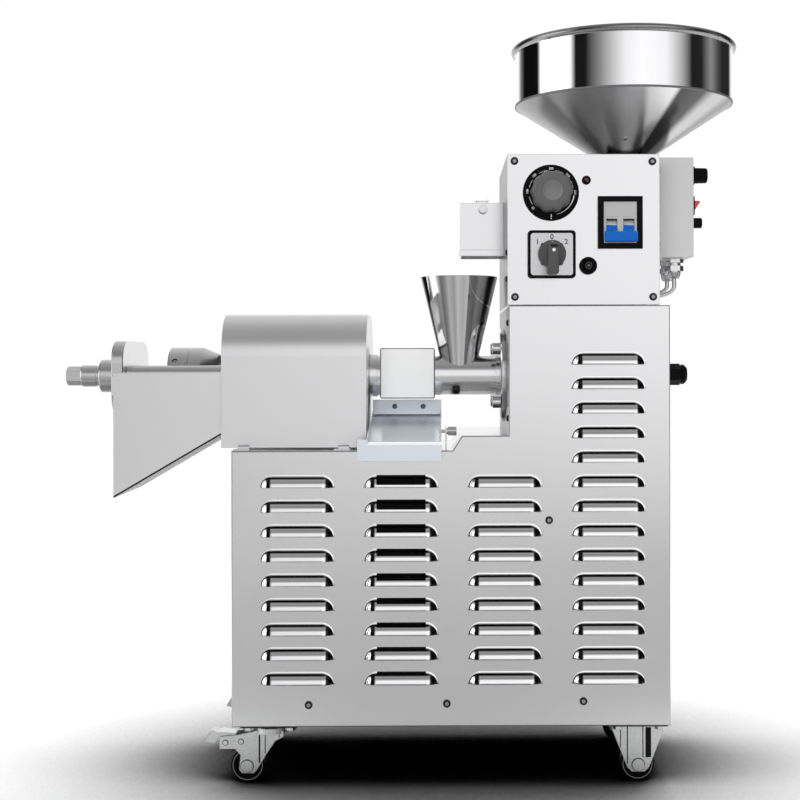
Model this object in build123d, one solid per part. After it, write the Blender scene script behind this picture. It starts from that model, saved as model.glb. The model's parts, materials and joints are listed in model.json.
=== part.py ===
from build123d import *
import math
import os

os.makedirs("parts", exist_ok=True)

# ---------------------------------------------------------------- driving dimensions (mm)
# The working frame has X = 0 at the middle of the cabinet, Y = 0 on its mid-plane
# and Z = 0 on the floor. SHIFT moves the origin to the middle of the overall box.
SHIFT_X, SHIFT_Y = 56.0, 7.0

CAB_X, CAB_Y = 239.0, 110.0          # half length and half depth of the cabinet
SHEET = 1.5                          # cabinet sheet
CAB_BOTTOM = 66.0
DECK_LOW, DECK_HIGH = 366.0, 382.0
TOWER_X0, TOWER_TOP = 63.0, 524.0
STEP_X0, STEP_X1 = 2.0, 12.0         # slope between the two decks

LOUVRE_COLS = (-167.3, -54.3, 58.7)
LOUVRE_COL_TALL = 171.7
LOUVRE_Z0, LOUVRE_PITCH = 326.0, 26.7
LOUVRE_LEN, LOUVRE_R, LOUVRE_SET = 76.6, 13.6, 7.1

BOX_X0, BOX_X1, BOX_TOP, BOX_BACK = 62.0, 228.0, 688.5, 90.0
AXIS_Z = 447.0                       # press screw axis
BARREL_R, BARREL_BORE = 23.0, 17.0
FLANGE_X = 57.3                      # outer face of the barrel flange

HOP_X, HOP_RIM, HOP_BAND_R = 202.5, 130.0, 125.7
HOP_NECK_R, HOP_SHEET = 20.0, 1.2
FEED_Z = 620.0                       # feed auger axis
FUN_X, FUN_R0, FUN_R1, FUN_Z0, FUN_Z1 = 10.9, 18.2, 44.7, 450.0, 561.0

HOOD_X0, HOOD_X1, HOOD_Y, HOOD_Z0, HOOD_Z1, HOOD_R = -253.5, -93.3, 85.0, 368.0, 516.7, 48.0
HINGE_Y, HINGE_Z = 90.5, 371.5

GEAR_M, GEAR_N, PINION_N = 1.75, 72, 18
PINION_Z = AXIS_Z - GEAR_M * (GEAR_N + PINION_N) / 2
MOTOR_Z = 170.0
BELT_R_BIG, BELT_R_SMALL, BELT_H = 56.0, 16.0, 8.0

WHEEL_R, WHEEL_W, CASTER_Y = 19.0, 17.0, 80.0
SWIVEL_X, LEFT_AXLE_X, RIGHT_AXLE_X = -199.0, -224.3, 205.5


# ---------------------------------------------------------------- helpers
def bx(x0, x1, y0, y1, z0, z1):
    return Pos((x0 + x1) / 2, (y0 + y1) / 2, (z0 + z1) / 2) * Box(x1 - x0, y1 - y0, z1 - z0)


def cyl_x(x0, x1, r, y=0.0, z=0.0):
    return Pos((x0 + x1) / 2, y, z) * (Rot(0, 90, 0) * Cylinder(r, x1 - x0))


def cyl_y(y0, y1, r, x=0.0, z=0.0):
    return Pos(x, (y0 + y1) / 2, z) * (Rot(90, 0, 0) * Cylinder(r, y1 - y0))


def cyl_z(z0, z1, r, x=0.0, y=0.0):
    return Pos(x, y, (z0 + z1) / 2) * Cylinder(r, z1 - z0)


def poly(pts):
    return make_face(Polyline(*[(float(a), float(b)) for a, b in pts], close=True))


def prism_y(pts, y0, y1):
    """Polygon of (x, z) points, from y0 to y1."""
    return Pos(0, y1, 0) * extrude(Plane.XZ * poly(pts), y1 - y0)


def prism_x(pts, x0, x1):
    """Polygon of (y, z) points, from x0 to x1."""
    return Pos(x0, 0, 0) * extrude(Plane.YZ * poly(pts), x1 - x0)


def turn_x(pts, y=0.0, z=AXIS_Z):
    """(x, r) profile turned about an axis along X."""
    return Pos(0, y, z) * revolve(poly(pts), Axis.X)


def turn_z(pts, x=0.0, y=0.0):
    """(r, z) profile turned about an axis along Z."""
    return Pos(x, y, 0) * revolve(Plane.XZ * poly(pts), Axis.Z)


def hex_x(x0, x1, flats, y=0.0, z=0.0):
    s = RegularPolygon(flats / 2, 6, major_radius=False)
    return Pos(x0, y, z) * (Rot(0, 90, 0) * extrude(s, x1 - x0))


def hex_z(z0, z1, flats, x=0.0, y=0.0):
    s = RegularPolygon(flats / 2, 6, major_radius=False)
    return Pos(x, y, z0) * extrude(s, z1 - z0)


def out_front(part, x, y, z):
    """Local +Z points out of the front (-Y), local Y is up."""
    return Pos(x, y, z) * (Rot(90, 0, 0) * part)


def solids_of(*items):
    got = []
    for it in items:
        got.extend(it.solids())
    return got


COUNT = []


def save(name, *items):
    sol = [Pos(SHIFT_X, SHIFT_Y, 0) * s for s in solids_of(*items)]
    body = sol[0] if len(sol) == 1 else Compound(children=sol)
    export_step(body, "parts/%s.step" % name)
    COUNT.append((name, len(sol), sum(s.volume for s in sol), Compound(children=[s for s in sol]).bounding_box()))


# ---------------------------------------------------------------- cabinet sheets
def louvre_rows():
    rows = [(x, LOUVRE_Z0 - LOUVRE_PITCH * k) for x in LOUVRE_COLS for k in range(9)]
    rows += [(LOUVRE_COL_TALL, LOUVRE_Z0 - LOUVRE_PITCH * k) for k in range(-5, 9)]
    return rows


def capsule(r):
    half = LOUVRE_LEN / 2 - math.sqrt(LOUVRE_R ** 2 - LOUVRE_SET ** 2)
    return Rot(0, 90, 0) * Cylinder(r, 2 * half) + Pos(half, 0, 0) * Sphere(r) + Pos(-half, 0, 0) * Sphere(r)


def louvre_shell():
    # axis at y = LOUVRE_SET behind the outer face (outer face at y = 0, outside is -y)
    shell = Pos(0, LOUVRE_SET, 0) * (capsule(LOUVRE_R) - capsule(LOUVRE_R - 1.2))
    return shell & bx(-60, 60, -20, 0.7, 0, 30)


def louvre_hole():
    return (Pos(0, LOUVRE_SET, 0) * capsule(LOUVRE_R - 1.2)) & bx(-60, 60, -20, 5, 0, 30)


PANEL_PTS = [(-CAB_X, CAB_BOTTOM), (CAB_X, CAB_BOTTOM), (CAB_X, TOWER_TOP), (TOWER_X0, TOWER_TOP),
             (TOWER_X0, DECK_HIGH), (STEP_X1, DECK_HIGH), (STEP_X0, DECK_LOW), (-CAB_X, DECK_LOW)]
PANEL_SCREWS = [(106.7, 290.0), (-155.2, 90.0), (-5.0, 91.0), (143.7, 93.0)]
BOX_SCREWS = [(69.7, 681.0), (220.0, 680.5), (70.0, 533.0), (220.6, 533.0)]

shell, hole = louvre_shell(), louvre_hole()
front = prism_y(PANEL_PTS, -CAB_Y, -CAB_Y + SHEET)
front = front.cut(*[Pos(x, -CAB_Y, z) * hole for x, z in louvre_rows()])
front = front.fuse(*[Pos(x, -CAB_Y, z) * shell for x, z in louvre_rows()])
front = front.cut(*[cyl_y(-CAB_Y - 1, -CAB_Y + 3, 2.2, x, z) for x, z in PANEL_SCREWS])
save("front_panel", front)
rear = Rot(0, 0, 180) * (Pos(0, 0, 0) * prism_y([(-x, z) for x, z in PANEL_PTS], -CAB_Y, -CAB_Y + SHEET))
rear_rows = [(x, z) for x, z in louvre_rows() if z < LOUVRE_Z0 + 1 and x in (-167.3, -54.3, LOUVRE_COL_TALL)]
rear = rear.cut(*[Rot(0, 0, 180) * (Pos(-x, -CAB_Y, z) * hole) for x, z in rear_rows])
rear = rear.fuse(*[Rot(0, 0, 180) * (Pos(-x, -CAB_Y, z) * shell) for x, z in rear_rows])
rear = rear.cut(*[cyl_y(CAB_Y - 3, CAB_Y + 1, 2.2, x, z) for x, z in PANEL_SCREWS])
save("rear_panel", rear)

IN_Y = CAB_Y - SHEET - 0.1
pan = bx(-CAB_X + 1.7, CAB_X - 1.7, -IN_Y, IN_Y, CAB_BOTTOM, CAB_BOTTOM + 38)
pan -= bx(-CAB_X + 3.2, CAB_X - 3.2, -IN_Y + 1.5, IN_Y - 1.5, CAB_BOTTOM + 2, CAB_BOTTOM + 40)
for x, z in PANEL_SCREWS[1:]:
    pan -= cyl_y(-CAB_Y - 2, CAB_Y + 2, 2.2, x, z)
BOLT_DX, BOLT_DY = 23.0, 19.0
BOLTS = [(cx + sx * BOLT_DX, cy + sy * BOLT_DY) for cx in (SWIVEL_X, RIGHT_AXLE_X)
         for cy in (-CASTER_Y, CASTER_Y) for sx in (-1, 1) for sy in (-1, 1)]
pan = pan.cut(*[cyl_z(CAB_BOTTOM - 1, CAB_BOTTOM + 3, 3.2, x, y) for x, y in BOLTS])
save("base_pan", pan)

T = SHEET
deck = prism_y([(-CAB_X, CAB_BOTTOM + .2), (-CAB_X, DECK_LOW), (STEP_X0, DECK_LOW), (STEP_X1, DECK_HIGH), (TOWER_X0, DECK_HIGH),
                (TOWER_X0, DECK_HIGH - T), (STEP_X1 + .8, DECK_HIGH - T), (STEP_X0 + .8, DECK_LOW - T),
                (-CAB_X + T, DECK_LOW - T), (-CAB_X + T, CAB_BOTTOM + .2)], -IN_Y, IN_Y)
TRAY_SCREWS = [(-65.3, 410.0), (-31.7, 410.0)]
deck += bx(-80, -18, 31.7, 33.2, DECK_LOW - .5, 417)
deck += bx(-6, -4.5, -100, -62, DECK_LOW - .5, 391)
deck = deck.cut(*[cyl_y(28, 36, 1.8, x, z) for x, z in TRAY_SCREWS])
deck -= cyl_x(-8, -2, 2.2, -75, 385.5)
save("deck_plate", deck)

FLANGE_BOLT = 30.6
tower_left = bx(TOWER_X0 + .1, 69, -IN_Y, IN_Y, 340, TOWER_TOP - T - .1)
tower_left -= cyl_x(60, 72, 30, 0, AXIS_Z)
FB = [(sy * FLANGE_BOLT, AXIS_Z + sz * FLANGE_BOLT) for sy in (-1, 1) for sz in (-1, 1)]
tower_left = tower_left.cut(*[cyl_x(60, 72, 4.2, y, z) for y, z in FB])
save("tower_left_plate", tower_left)

wrap = prism_y([(TOWER_X0, TOWER_TOP), (CAB_X, TOWER_TOP), (CAB_X, CAB_BOTTOM + .2), (CAB_X - T, CAB_BOTTOM + .2),
                (CAB_X - T, TOWER_TOP - T), (TOWER_X0, TOWER_TOP - T)], -IN_Y, IN_Y)
wrap -= bx(90, 205, -70, 60, TOWER_TOP - 4, TOWER_TOP + 1)
GLAND_Y, GLAND_Z = -60.0, 448.0
wrap -= cyl_x(CAB_X - 4, CAB_X + 1, 10.1, GLAND_Y, GLAND_Z)
save("tower_wrap", wrap)


# ---------------------------------------------------------------- fasteners
def button_screw(head_r=4.0, head_h=2.3, shank=9.0, shank_r=1.9):
    s = turn_z([(0, 0), (head_r, 0), (head_r, head_h * .35), (head_r * .78, head_h * .8), (head_r * .45, head_h), (0, head_h)])
    s -= hex_z(head_h - 1.4, head_h + 1, head_r * .75)
    return s + cyl_z(-shank, 0.2, shank_r)


def thumb_screw(r=5.0, h=9.0, shank=9.0, shank_r=1.9):
    s = cyl_z(1.5, h, r)
    for i in range(16):
        a = 2 * math.pi * i / 16
        s -= cyl_z(1.4, h + 1, .55, r * math.cos(a), r * math.sin(a))
    return s + cyl_z(0, 2, r * .7) + cyl_z(-shank, .5, shank_r)


def cap_screw(r=6.75, h=9.5, shank=26.0, shank_r=4.0, flats=6.0):
    s = chamfer(Cylinder(r, h).edges().group_by(Axis.Z)[-1], .7)
    s = Pos(0, 0, h / 2) * s - hex_z(h - 4, h + 1, flats)
    return s + cyl_z(-shank, .2, shank_r)


bs = button_screw()
panel_screws = [out_front(bs, x, -CAB_Y, z) for x, z in PANEL_SCREWS + BOX_SCREWS]
panel_screws += [Rot(0, 0, 180) * out_front(bs, -x, -CAB_Y, z) for x, z in PANEL_SCREWS]
ts = button_screw(3.0, 1.9, 5.0, 1.6)
panel_screws += [out_front(ts, x, 28.8, z) for x, z in TRAY_SCREWS]
save("panel_screws", *panel_screws)

caps = [Pos(FLANGE_X, y, z) * (Rot(0, -90, 0) * cap_screw(h=9.0, shank=22.5)) for y, z in FB]
caps += [out_front(thumb_screw(5, 8, 4), 38, -25, 637.5)]
caps += [Pos(-4.5, -75, 385.5) * (Rot(0, 90, 0) * thumb_screw(5, 11, 8))]
for x, y in BOLTS:
    caps += [hex_z(60.2, 63.9, 10, x, y) + cyl_z(63.8, 75, 3, x, y), hex_z(68.1, 73, 10, x, y) - cyl_z(67, 74, 3.02, x, y)]
save("cap_screws", *caps)

# ---------------------------------------------------------------- control box
box = bx(BOX_X0, BOX_X1, -IN_Y, BOX_BACK, TOWER_TOP + .1, BOX_TOP)
box -= bx(BOX_X0 + T, BOX_X1 - T, -IN_Y + T, BOX_BACK - T, TOWER_TOP - 1, BOX_TOP - T)
box -= bx(BOX_X0 + 16, BOX_X1 - 16, -IN_Y - 1, -IN_Y + 3, TOWER_TOP - 1, BOX_TOP - 16)
box -= bx(HOP_X - 28, BOX_X1 - T, -34, 34, BOX_TOP - 4, BOX_TOP + 1)
box -= cyl_x(BOX_X0 - 1, BOX_X0 + 3, 23.9, 0, FEED_Z)
box -= cyl_x(BOX_X1 - 3, BOX_X1 + 1, 8, 0, FEED_Z)
CABLES = [(-35.0, 536.5), (15.0, 541.0)]
box = box.cut(*[cyl_x(BOX_X1 - 3, BOX_X1 + 1, 2.9, y, z) for y, z in CABLES])
box = box.cut(*[cyl_y(-IN_Y - 1, -IN_Y + 3, 2.2, x, z) for x, z in BOX_SCREWS])
save("control_box_shell", box)

DIAL = (109.3, 646.3)
LAMP = (148.0, 660.0)
CAM = (109.9, 579.2)
RESET = (149.7, 566.8)
BRK = (184.7, 613.9)
plate = bx(BOX_X0, BOX_X1, -CAB_Y, -CAB_Y + T, TOWER_TOP + .4, BOX_TOP)
plate = fillet(plate.edges().filter_by(Axis.Y), 2.0)
plate -= bx(BRK[0] - 22, BRK[0] + 22, -115, -100, BRK[1] - 26, BRK[1] + 26)
for (x, z), r in ((DIAL, 3.5), (LAMP, 3.7), (CAM, 5.0), (RESET, 7.2)):
    plate -= cyl_y(-115, -100, r, x, z)
plate = plate.cut(*[cyl_y(-115, -100, 2.2, x, z) for x, z in BOX_SCREWS])
save("control_panel_plate", plate)

# circuit breaker: body with two toggle slots, black frame around it
brk = bx(BRK[0] - 18, BRK[0] + 18, -112.4, -52, BRK[1] - 22.5, BRK[1] + 22.5)
for s in (-1, 1):
    brk -= bx(BRK[0] + s * 9.3 - 6.1, BRK[0] + s * 9.3 + 6.1, -113, -92.5, BRK[1] - 17.9, BRK[1] + 6.1)
save("breaker_body", brk)
PIV_Y, PIV_Z = -103.0, BRK[1] - 5.9
tog = None
for s in (-1, 1):
    lever = Pos(BRK[0] + s * 9.3, PIV_Y, PIV_Z) * (Rot(28, 0, 0) * (Pos(0, -9, 0) * Box(11.4, 18, 8)))
    hub = cyl_x(BRK[0] + s * 9.3 - 5.7, BRK[0] + s * 9.3 + 5.7, 9.1, PIV_Y, PIV_Z)
    tog = lever + hub if tog is None else tog + lever + hub
bar = bx(BRK[0] - 17.7, BRK[0] + 17.7, -124, -117, BRK[1] - 21.6, BRK[1] - 10.6)
bar = fillet(bar.edges().filter_by(Axis.X), 1.8)
tog = tog + bar
save("breaker_toggle", tog)

frame = bx(BRK[0] - 24.3, BRK[0] + 24.3, -113.6, -110, BRK[1] - 28.5, BRK[1] + 28.5)
frame -= bx(BRK[0] - 18.2, BRK[0] + 18.2, -120, -100, BRK[1] - 22.7, BRK[1] + 22.7)
ring = turn_z([(5.6, -11), (7, -11), (7, 0), (9.6, 0), (9.6, 3.2), (8.4, 5), (7.6, 5), (6.6, 3.8), (5.6, 3.8)])
lampring = turn_z([(3.1, 0), (4.9, 0), (4.9, 1.4), (4.2, 2.4), (3.1, 2.4)])
SIDE_X, SIDE_Y0, SIDE_Y1, SIDE_Z0, SIDE_Z1 = 274.0, -60.0, 40.0, 580.0, 692.0
CTL_Y, KNOB_Z, ROCK_Z, FUSE_Z = -48.0, 673.0, 638.5, 619.3
rbezel = bx(SIDE_X, SIDE_X + 2.2, CTL_Y - 7.5, CTL_Y + 7.5, ROCK_Z - 10.5, ROCK_Z + 10.5)
rbezel += bx(SIDE_X - 14, SIDE_X, CTL_Y - 6.8, CTL_Y + 6.8, ROCK_Z - 9.6, ROCK_Z + 9.6)
rbezel -= bx(SIDE_X - 12.5, SIDE_X + 3, CTL_Y - 5.6, CTL_Y + 5.6, ROCK_Z - 8.6, ROCK_Z + 8.6)
fuse = turn_z([(0, -16), (4.6, -16), (4.6, 0), (6.7, 0), (6.7, 1.6), (5.9, 1.6), (5.9, 10.3), (5.2, 11.1), (0, 11.1)])
fuse -= bx(-.6, .6, -4, 4, 10.1, 11.5)
fuse = Pos(SIDE_X, CTL_Y, FUSE_Z) * (Rot(0, 90, 0) * fuse)
save("switch_bezels", frame, out_front(ring, RESET[0], -CAB_Y, RESET[1]),
     out_front(lampring, LAMP[0], -CAB_Y, LAMP[1]), rbezel, fuse)
lamp = turn_z([(0, -8), (2.9, -8), (2.9, 2.2), (2.5, 3.8), (1.4, 4.8), (0, 5)])
save("pilot_lamp", out_front(lamp, LAMP[0], -CAB_Y, LAMP[1]))

CAM_FACE = -115.5
cam_base = bx(CAM[0] - 26, CAM[0] + 26, CAM_FACE, -CAB_Y, CAM[1] - 26, CAM[1] + 26)
cam_base = fillet(cam_base.edges().filter_by(Axis.Y), 4)
cam_base = chamfer(cam_base.faces().sort_by(Axis.Y)[0].edges(), .8)
cam_base += cyl_y(-110.2, -84, 4.9, CAM[0], CAM[1]) + bx(CAM[0] - 20, CAM[0] + 20, -105, -75, CAM[1] - 20, CAM[1] + 20)
cam_base -= cyl_y(-116, -105.5, 3.4, CAM[0], CAM[1])
save("cam_switch_base", cam_base)
lever_pts = [(-4.6, -22.5), (4.6, -22.5), (5.5, -20), (5.5, 9), (3.5, 11.5), (-3.5, 11.5), (-5.5, 9), (-5.5, -20)]
cam_h = Pos(0, 0, .5) * extrude(poly(lever_pts), 27.5)
disc = turn_z([(0, .5), (15, .5), (15, 5.6), (13.4, 7.2), (0, 7.2)])
cam_h = cam_h + disc
cam_h = cam_h + cyl_z(-9, 1, 3.0)
cam_h = Pos(CAM[0], CAM_FACE - .5, CAM[1]) * (Rot(90, 0, 0) * cam_h)
save("cam_switch_handle", cam_h)

dial = turn_z([(0, .6), (30.5, .6), (30.5, 2.2), (29.4, 3.4), (22.4, 5.8), (0, 5.8)])
grip = chamfer(Cylinder(21.8, 22).edges().group_by(Axis.Z)[-1], 1.5)
grip = Pos(0, 0, 16) * grip
grip = grip.cut(*[cyl_z(6.4, 30, 4.2, 24.2 * math.cos(math.radians(30 * i + 15)), 24.2 * math.sin(math.radians(30 * i + 15))) for i in range(12)])
grip -= Pos(0, 0, 27 + 34.2) * Sphere(36.0)
dial = dial + grip + cyl_z(-14, 1, 3.0)
save("thermostat_dial", out_front(dial, DIAL[0], -CAB_Y, DIAL[1]))
btn = turn_z([(0, -9), (4.6, -9), (4.6, -6), (5.2, -6), (5.2, 6.2), (4.5, 7.2), (0, 7.2)])
save("reset_button", out_front(btn, RESET[0], -CAB_Y, RESET[1]))

# ---------------------------------------------------------------- side control box
side = bx(BOX_X1 + .2, SIDE_X, SIDE_Y0, SIDE_Y1, SIDE_Z0, SIDE_Z1)
side = fillet(side.edges().filter_by(Axis.Y), 1.2)
side -= bx(BOX_X1 + 1.7, SIDE_X - T, SIDE_Y0 + T, SIDE_Y1 - T, SIDE_Z0 + T, SIDE_Z1 - T)
side -= cyl_x(BOX_X1 - 1, BOX_X1 + 4, 8, 0, FEED_Z)
side -= cyl_x(SIDE_X - 4, SIDE_X + 1, 3.6, CTL_Y, KNOB_Z)
side -= bx(SIDE_X - 4, SIDE_X + 1, CTL_Y - 6.9, CTL_Y + 6.9, ROCK_Z - 9.7, ROCK_Z + 9.7)
side -= cyl_x(SIDE_X - 4, SIDE_X + 1, 4.7, CTL_Y, FUSE_Z)
GLX = 256.0
side = side.cut(*[cyl_z(SIDE_Z0 - 1, SIDE_Z0 + 4, 5.6, GLX, y) for y, z in CABLES])
save("side_control_box", side)
knob = turn_z([(0, .5), (10.5, .5), (10.5, 2.6), (8.8, 3.4), (8.5, 16.0), (7.6, 17.0), (0, 17.0)])
knob = knob.cut(*[cyl_z(3.6, 18, .7, 8.9 * math.cos(2 * math.pi * i / 18), 8.9 * math.sin(2 * math.pi * i / 18)) for i in range(18)])
knob = knob + cyl_z(-9, 1, 3.2)
save("speed_knob", Pos(SIDE_X, CTL_Y, KNOB_Z) * (Rot(0, 90, 0) * knob))
RX = SIDE_X - 2.5
rock = cyl_y(CTL_Y - 5.2, CTL_Y + 5.2, 8.1, RX, ROCK_Z)
rock &= bx(RX - 20, RX + 4.2, CTL_Y - 20, CTL_Y + 20, 600, 680)
rock += prism_y([(RX + 1, ROCK_Z - 6.6), (RX + 4.0, ROCK_Z - 6.8), (RX + 11.4, ROCK_Z + 4.6), (RX + 10.6, ROCK_Z + 5.4), (RX + 1, ROCK_Z + 5.8)], CTL_Y - 5.2, CTL_Y + 5.2)
save("rocker_switch", rock)


def cable_gland():
    g = turn_z([(2.8, -23), (5.6, -23), (6.6, -20.5), (7.6, -16), (7.6, 0), (5.4, 0), (5.4, 7), (2.8, 7)])
    h = hex_z(-14.5, -8.5, 18.6) + hex_z(-5, 0, 18.6)
    return g + (h - cyl_z(-30, 10, 2.8))


save("cable_glands", *[Pos(GLX, y, SIDE_Z0) * cable_gland() for y, z in CABLES])
cables = []
CABLE_R, CABLE_BEND = 2.5, 16.0
for y, z in CABLES:
    path = FilletPolyline((GLX, y, SIDE_Z0 - 6), (GLX, y, z), (BOX_X1 - 4, y, z), radius=CABLE_BEND)
    cables.append(sweep(Plane(origin=path @ 0, z_dir=path % 0) * Circle(CABLE_R), path=path))
    print("cable", round(path.length, 1), "mm, volume ratio", round(cables[-1].volume / (math.pi * CABLE_R ** 2 * path.length), 4))
save("feeder_cables", *cables)

gl = turn_x([(228, 5), (228, 9.8), (239, 9.8), (239, 10.2), (258.4, 10.2), (259.2, 10.2), (259.2, 11.3), (262.4, 10.8), (265.2, 8), (265.2, 5)],
            GLAND_Y, GLAND_Z)
gl += hex_x(239, 257.6, 21, GLAND_Y, GLAND_Z) - cyl_x(230, 270, 5, GLAND_Y, GLAND_Z)
nut = hex_x(231, 237.4, 24, GLAND_Y, GLAND_Z) - cyl_x(225, 240, 9.82, GLAND_Y, GLAND_Z)
save("power_gland", gl, nut)

# ---------------------------------------------------------------- hopper and feeder
CONE_Z = 691.5
h = HOP_SHEET
hop = turn_z([(HOP_NECK_R, 662), (HOP_NECK_R, CONE_Z), (HOP_BAND_R, 760), (HOP_BAND_R, 823), (HOP_BAND_R - h, 823),
              (HOP_BAND_R - h, 760.65), (HOP_NECK_R - h, CONE_Z + .65), (HOP_NECK_R - h, 662)], HOP_X, 0)
bead = revolve(Plane.XZ * (Pos(HOP_RIM - 4.1, 823.7) * Circle(4.1)), Axis.Z)
hop = hop + Pos(HOP_X, 0, 0) * bead
save("hopper", hop)

TR_X0, TR_X1 = 46.0, 224.0
inlet_r = HOP_NECK_R + .3
tr = cyl_x(TR_X0, TR_X1, 23.5, 0, FEED_Z) + cyl_z(FEED_Z, 685, inlet_r + 2, HOP_X, 0)
tr -= cyl_x(TR_X0 - 1, TR_X1 - 3, 22, 0, FEED_Z)
tr -= cyl_z(FEED_Z, 690, inlet_r, HOP_X, 0)
tr -= cyl_x(TR_X1 - 5, TR_X1 + 2, 5.06, 0, FEED_Z)
save("feed_trough", tr)
fm = cyl_x(233, 256, 17, 0, FEED_Z) + cyl_x(230.5, 234, 11, 0, FEED_Z) - cyl_x(229, 242, 5.4, 0, FEED_Z)
save("feed_motor", fm)


def flight(root_r, tip_r, pitch, length, thick, hand=False):
    """Screw flight about Z from 0 to length."""
    mid = (root_r + tip_r) / 2
    path = Helix(pitch=pitch, height=length, radius=mid, lefthand=hand)
    sec = Plane(origin=path @ 0, x_dir=(1, 0, 0), z_dir=path % 0) * Rectangle(tip_r - root_r, thick)
    return sweep(sec, path=path, is_frenet=True)


aug = cyl_z(0, 190, 5) + Pos(0, 0, 4) * flight(4.4, 21.3, 36, 160, 2.4)
save("feed_auger", Pos(48, 0, FEED_Z) * (Rot(0, 90, 0) * aug))

CH_X0, CH_X1, CH_Y, CH_Z0, CH_Z1 = 12.0, 61.9, 25.0, 584.0, 645.0
c = 1.2
chute = bx(CH_X0, CH_X1, -CH_Y, CH_Y, CH_Z0, CH_Z1) - bx(CH_X0 + c, CH_X1 + 1, -CH_Y + c, CH_Y - c, CH_Z0 - 1, CH_Z1 - c)
lip = bx(CH_X0 - 1.2, CH_X1, -CH_Y - 1.2, CH_Y + 1.2, CH_Z0, CH_Z0 + 7) - bx(CH_X0 + .4, CH_X1 + 1, -CH_Y + .4, CH_Y - .4, CH_Z0 - 1, CH_Z0 + 8)
chute = chute + lip
chute -= bx(42.3, 45.1, -21.5, 21.5, CH_Z1 - 3, CH_Z1 + 1)
chute -= cyl_y(-CH_Y - 1, -CH_Y + 3, 2.1, 38, 637.5)
save("feed_chute", chute)
gate = bx(42.9, 44.5, -21, 21, 597, 649.5) + bx(29, 44.5, -9, 9, 648.1, 649.5)
gate = fillet(gate.edges().filter_by(Axis.Z).group_by(Axis.X)[0], 3)
save("feed_gate", gate)

fun = turn_z([(FUN_R0, FUN_Z0), (FUN_R1, FUN_Z1), (FUN_R1 - 1.2, FUN_Z1), (FUN_R0 - 1.2, FUN_Z0)], FUN_X, 0)
fun -= cyl_x(FUN_X - 60, FUN_X + 60, BARREL_R + .03, 0, AXIS_Z)
fun = [s for s in fun.solids() if s.center().Z > AXIS_Z]
save("feed_funnel", *fun)

# ---------------------------------------------------------------- press
barrel = turn_x([(-96, BARREL_BORE), (-96, BARREL_R), (-93, BARREL_R), (-93, 24.6), (-84, 24.6), (-84, BARREL_R), (52.8, BARREL_R), (52.8, 24.8),
                 (FLANGE_X, 24.8), (FLANGE_X, 52.6), (FLANGE_X + 1.4, 54), (63, 54), (63, BARREL_BORE)])
barrel -= cyl_z(AXIS_Z, AXIS_Z + 60, 17.5, FUN_X, 0)
barrel = barrel.cut(*[cyl_x(50, 66, 4.2, y, z) for y, z in FB])
save("press_barrel", barrel)
HB = (-80.5, -17.5, 29.0, 420.5, 478.5)
heat = bx(HB[0], HB[1], -HB[2], HB[2], HB[3], HB[4])
heat = fillet(heat.edges(), 2.2)
heat -= cyl_x(HB[0] - 1, HB[1] + 1, BARREL_R + .1, 0, AXIS_Z)
save("heater_block", heat)

ROD_Y, ROD_Z, ROD_R = 46.0, 449.0, 10.0
cage = cyl_x(-239, -96.1, 27, 0, AXIS_Z)
lug = Plane.YZ * make_hull((Pos(0, AXIS_Z) * Circle(34)).edges() + (Pos(ROD_Y, ROD_Z) * Circle(13)).edges() + (Pos(-ROD_Y, ROD_Z) * Circle(13)).edges())
cage += Pos(-250, 0, 0) * extrude(lug, 12)
cage -= cyl_x(-260, -90, BARREL_BORE, 0, AXIS_Z)
cage -= turn_x([(-251, 0), (-251, 20.5), (-250, 20.5), (-240, 17), (-238, 17), (-238, 0)])
slot = bx(-225, -112, -.6, .6, 12, 40)
cage = cage.cut(*[Pos(0, 0, AXIS_Z) * (Rot(30 * i, 0, 0) * slot) for i in range(12)])
for i in range(6):
    x = -218 + i * 20
    cage -= cyl_x(x, x + 3, 40, 0, AXIS_Z) - cyl_x(x - 1, x + 4, 25, 0, AXIS_Z)
save("strainer_cage", cage)
save("tie_rods", *[chamfer(cyl_x(-365, -250, ROD_R, s * ROD_Y, ROD_Z).edges().filter_by(GeomType.CIRCLE), .8) for s in (-1, 1)])

endp = Pos(-378, 0, 0) * extrude(Plane.YZ * (Pos(0, 445.5) * RectangleRounded(142, 83, 25)), 13)
endp = chamfer(endp.faces().sort_by(Axis.X)[0].edges() + endp.faces().sort_by(Axis.X)[-1].edges(), 1.0)
endp += turn_x([(-405, 0), (-405, 17.6), (-403.6, 19), (-378, 19), (-378, 0)])
endp -= cyl_x(-410, -360, 11.58, 0, AXIS_Z)
save("end_plate", endp)

adj = turn_x([(-427.2, 0), (-427.2, 11.6), (-426, 12.5), (-409.8, 12.5), (-409.8, 11.5), (-314, 11.5), (-313, 10.5), (-313, 0)])
adj += chamfer(hex_x(-444.5, -427, 19, 0, AXIS_Z).edges().group_by(Axis.X)[0], .8)
save("adjuster_bolt", adj)
choke = turn_x([(-323.5, 11.9), (-323.5, 31.8), (-322.3, 33), (-301.4, 33), (-300.6, 32.2), (-299.8, 33), (-286, 33), (-268, 25.5),
                (-256, 18), (-246, 13.5), (-246, 0), (-312, 0), (-312, 11.9)])
choke -= Pos(-315, 0, AXIS_Z) * (Rot(59, 0, 0) * cyl_z(12.5, 40, 3.4))
save("choke_cone", choke)

screw = turn_x([(150, 0), (150, 12.5), (46, 12.5), (45, 9), (-228, 12.6), (-236, 11), (-236, 0)], 0, 0)
worm = Pos(44, 0, 0) * (Rot(0, -90, 0) * flight(8.6, 16.5, 26, 272, 5))
screw = screw + worm
save("press_screw", Pos(0, 0, AXIS_Z) * screw)


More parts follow.
